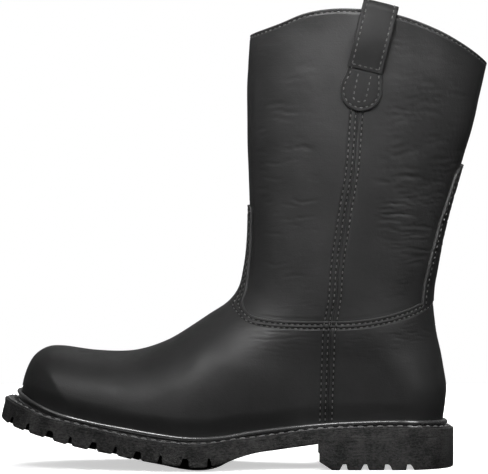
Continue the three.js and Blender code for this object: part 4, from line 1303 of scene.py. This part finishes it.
def studio():
    """A white paper disc, soft boxes above and to both sides, and a pale surround."""
    turns = np.linspace(0, 2 * math.pi, 96, endpoint=False)
    vertices = [(0, 0, 0), *((math.cos(t), math.sin(t), 0) for t in turns)]
    faces = [(0, i + 1, (i + 1) % len(turns) + 1) for i in range(len(turns))]
    mesh = bpy.data.meshes.new("studio_floor")
    mesh.from_pydata(vertices, [], faces)
    floor = bpy.data.objects.new("studio_floor", mesh)
    bpy.context.scene.collection.objects.link(floor)
    floor.visible_glossy = floor.visible_diffuse = False
    n = principled("studio_paper", Roughness=0.9, Specular_IOR_Level=0.1, Emission_Strength=0.55,
                   Emission_Color=(1, 1, 1, 1))
    mesh.materials.append(n.finish(n.ramp(n.noise(3, 3), (0.3, grey(0.9)), (0.7, grey(0.92)))))
    surround()
    lamp("overhead_box", (0.6, -0.05, 1.4), (0, 0, 0.12), 1.2, 0.6, 0.7)
    lamp("front_box", (1.5, -0.1, 1.15), (0, 0, 0.28), 1.2, 0.9, 0.5)
    lamp("shaft_box", (0.6, -0.08, 0.72), (0.02, 0.06, 0.36), 0.5, 0.35, 1.7, spread=46)
    lamp("toe_side_box", (1.2, -1.3, 0.9), (0, -0.1, 0.1), 0.9, 0.9, 3)
    lamp("heel_side_box", (1.0, 0.9, 0.9), (0, 0.12, 0.24), 0.5, 0.9, 10)
    lamp("rear_box", (-1.6, 0.3, 1.3), (0, 0, 0.15), 1.2, 0.8, 50, glossy=False)
    lamp("rear_top_box", (-0.9, 0.1, 1.7), (0, 0, 0.1), 0.8, 0.8, 2.5)
    level_camera(turn=math.radians(1.0), distance=1.8, height=0.162, lens=187.0)


def surround():
    """White to look at; for light, paler above and on the outer side than below and behind."""
    n = Nodes(bpy.data.worlds.new("studio_world"), "Background", "Generated")
    towards = n.add("SeparateXYZ", {0: n.place}).outputs
    high = n.remap(towards["Z"], -0.45, 0.8, 0.015, 0.72, interpolation_type="SMOOTHSTEP")
    out = n.remap(towards["X"], -0.35, 0.9, 0.38, 1.0, interpolation_type="SMOOTHSTEP")
    seen = n.add("LightPath").outputs["Is Camera Ray"]
    strength = n.math("MAXIMUM", n.math("MULTIPLY", high, out), seen)
    n.tree.links.new(strength, n.shader.inputs["Strength"])
    n.shader.inputs["Color"].default_value = (1, 1, 1, 1)
    bpy.context.scene.world = n.owner


def lamp(name, place, aim, wide, tall, power, glossy=True, spread=180):
    data = bpy.data.lights.new(name, "AREA")
    data.shape = "RECTANGLE"
    data.size, data.size_y, data.energy = wide, tall, power
    data.spread = math.radians(spread)
    obj = bpy.data.objects.new(name, data)
    obj.location = place
    obj.visible_glossy = glossy
    obj.rotation_euler = (Vector(aim) - Vector(place)).to_track_quat("-Z", "Y").to_euler()
    bpy.context.scene.collection.objects.link(obj)


def level_camera(turn, distance, height, lens):
    """A level camera off the boot's outer side, turned a little towards the heel."""
    data = bpy.data.cameras.new("camera")
    data.sensor_fit, data.sensor_width, data.lens = "HORIZONTAL", 36, lens
    obj = bpy.data.objects.new("camera", data)
    away = np.array([math.cos(turn), math.sin(turn), 0]) * distance
    obj.location = row((0, 0, 0)) + away + np.array([0, 0, height])
    obj.rotation_euler = (math.pi / 2, 0, math.pi / 2 + turn)
    bpy.context.scene.collection.objects.link(obj)
    bpy.context.scene.camera = obj


# ---------------------------------------------------------------- the boot

upper_leather()
backstay()
linings()
for strap_name, strap_side in (("lateral", 1), ("medial", -1)):
    pull_strap(strap_name, strap_side)
    strap_tab(strap_name, strap_side)
outsole()
heel_block()
welt()
footbed()
hidden_parts()
studio()

bpy.context.scene.view_settings.view_transform = "Standard"
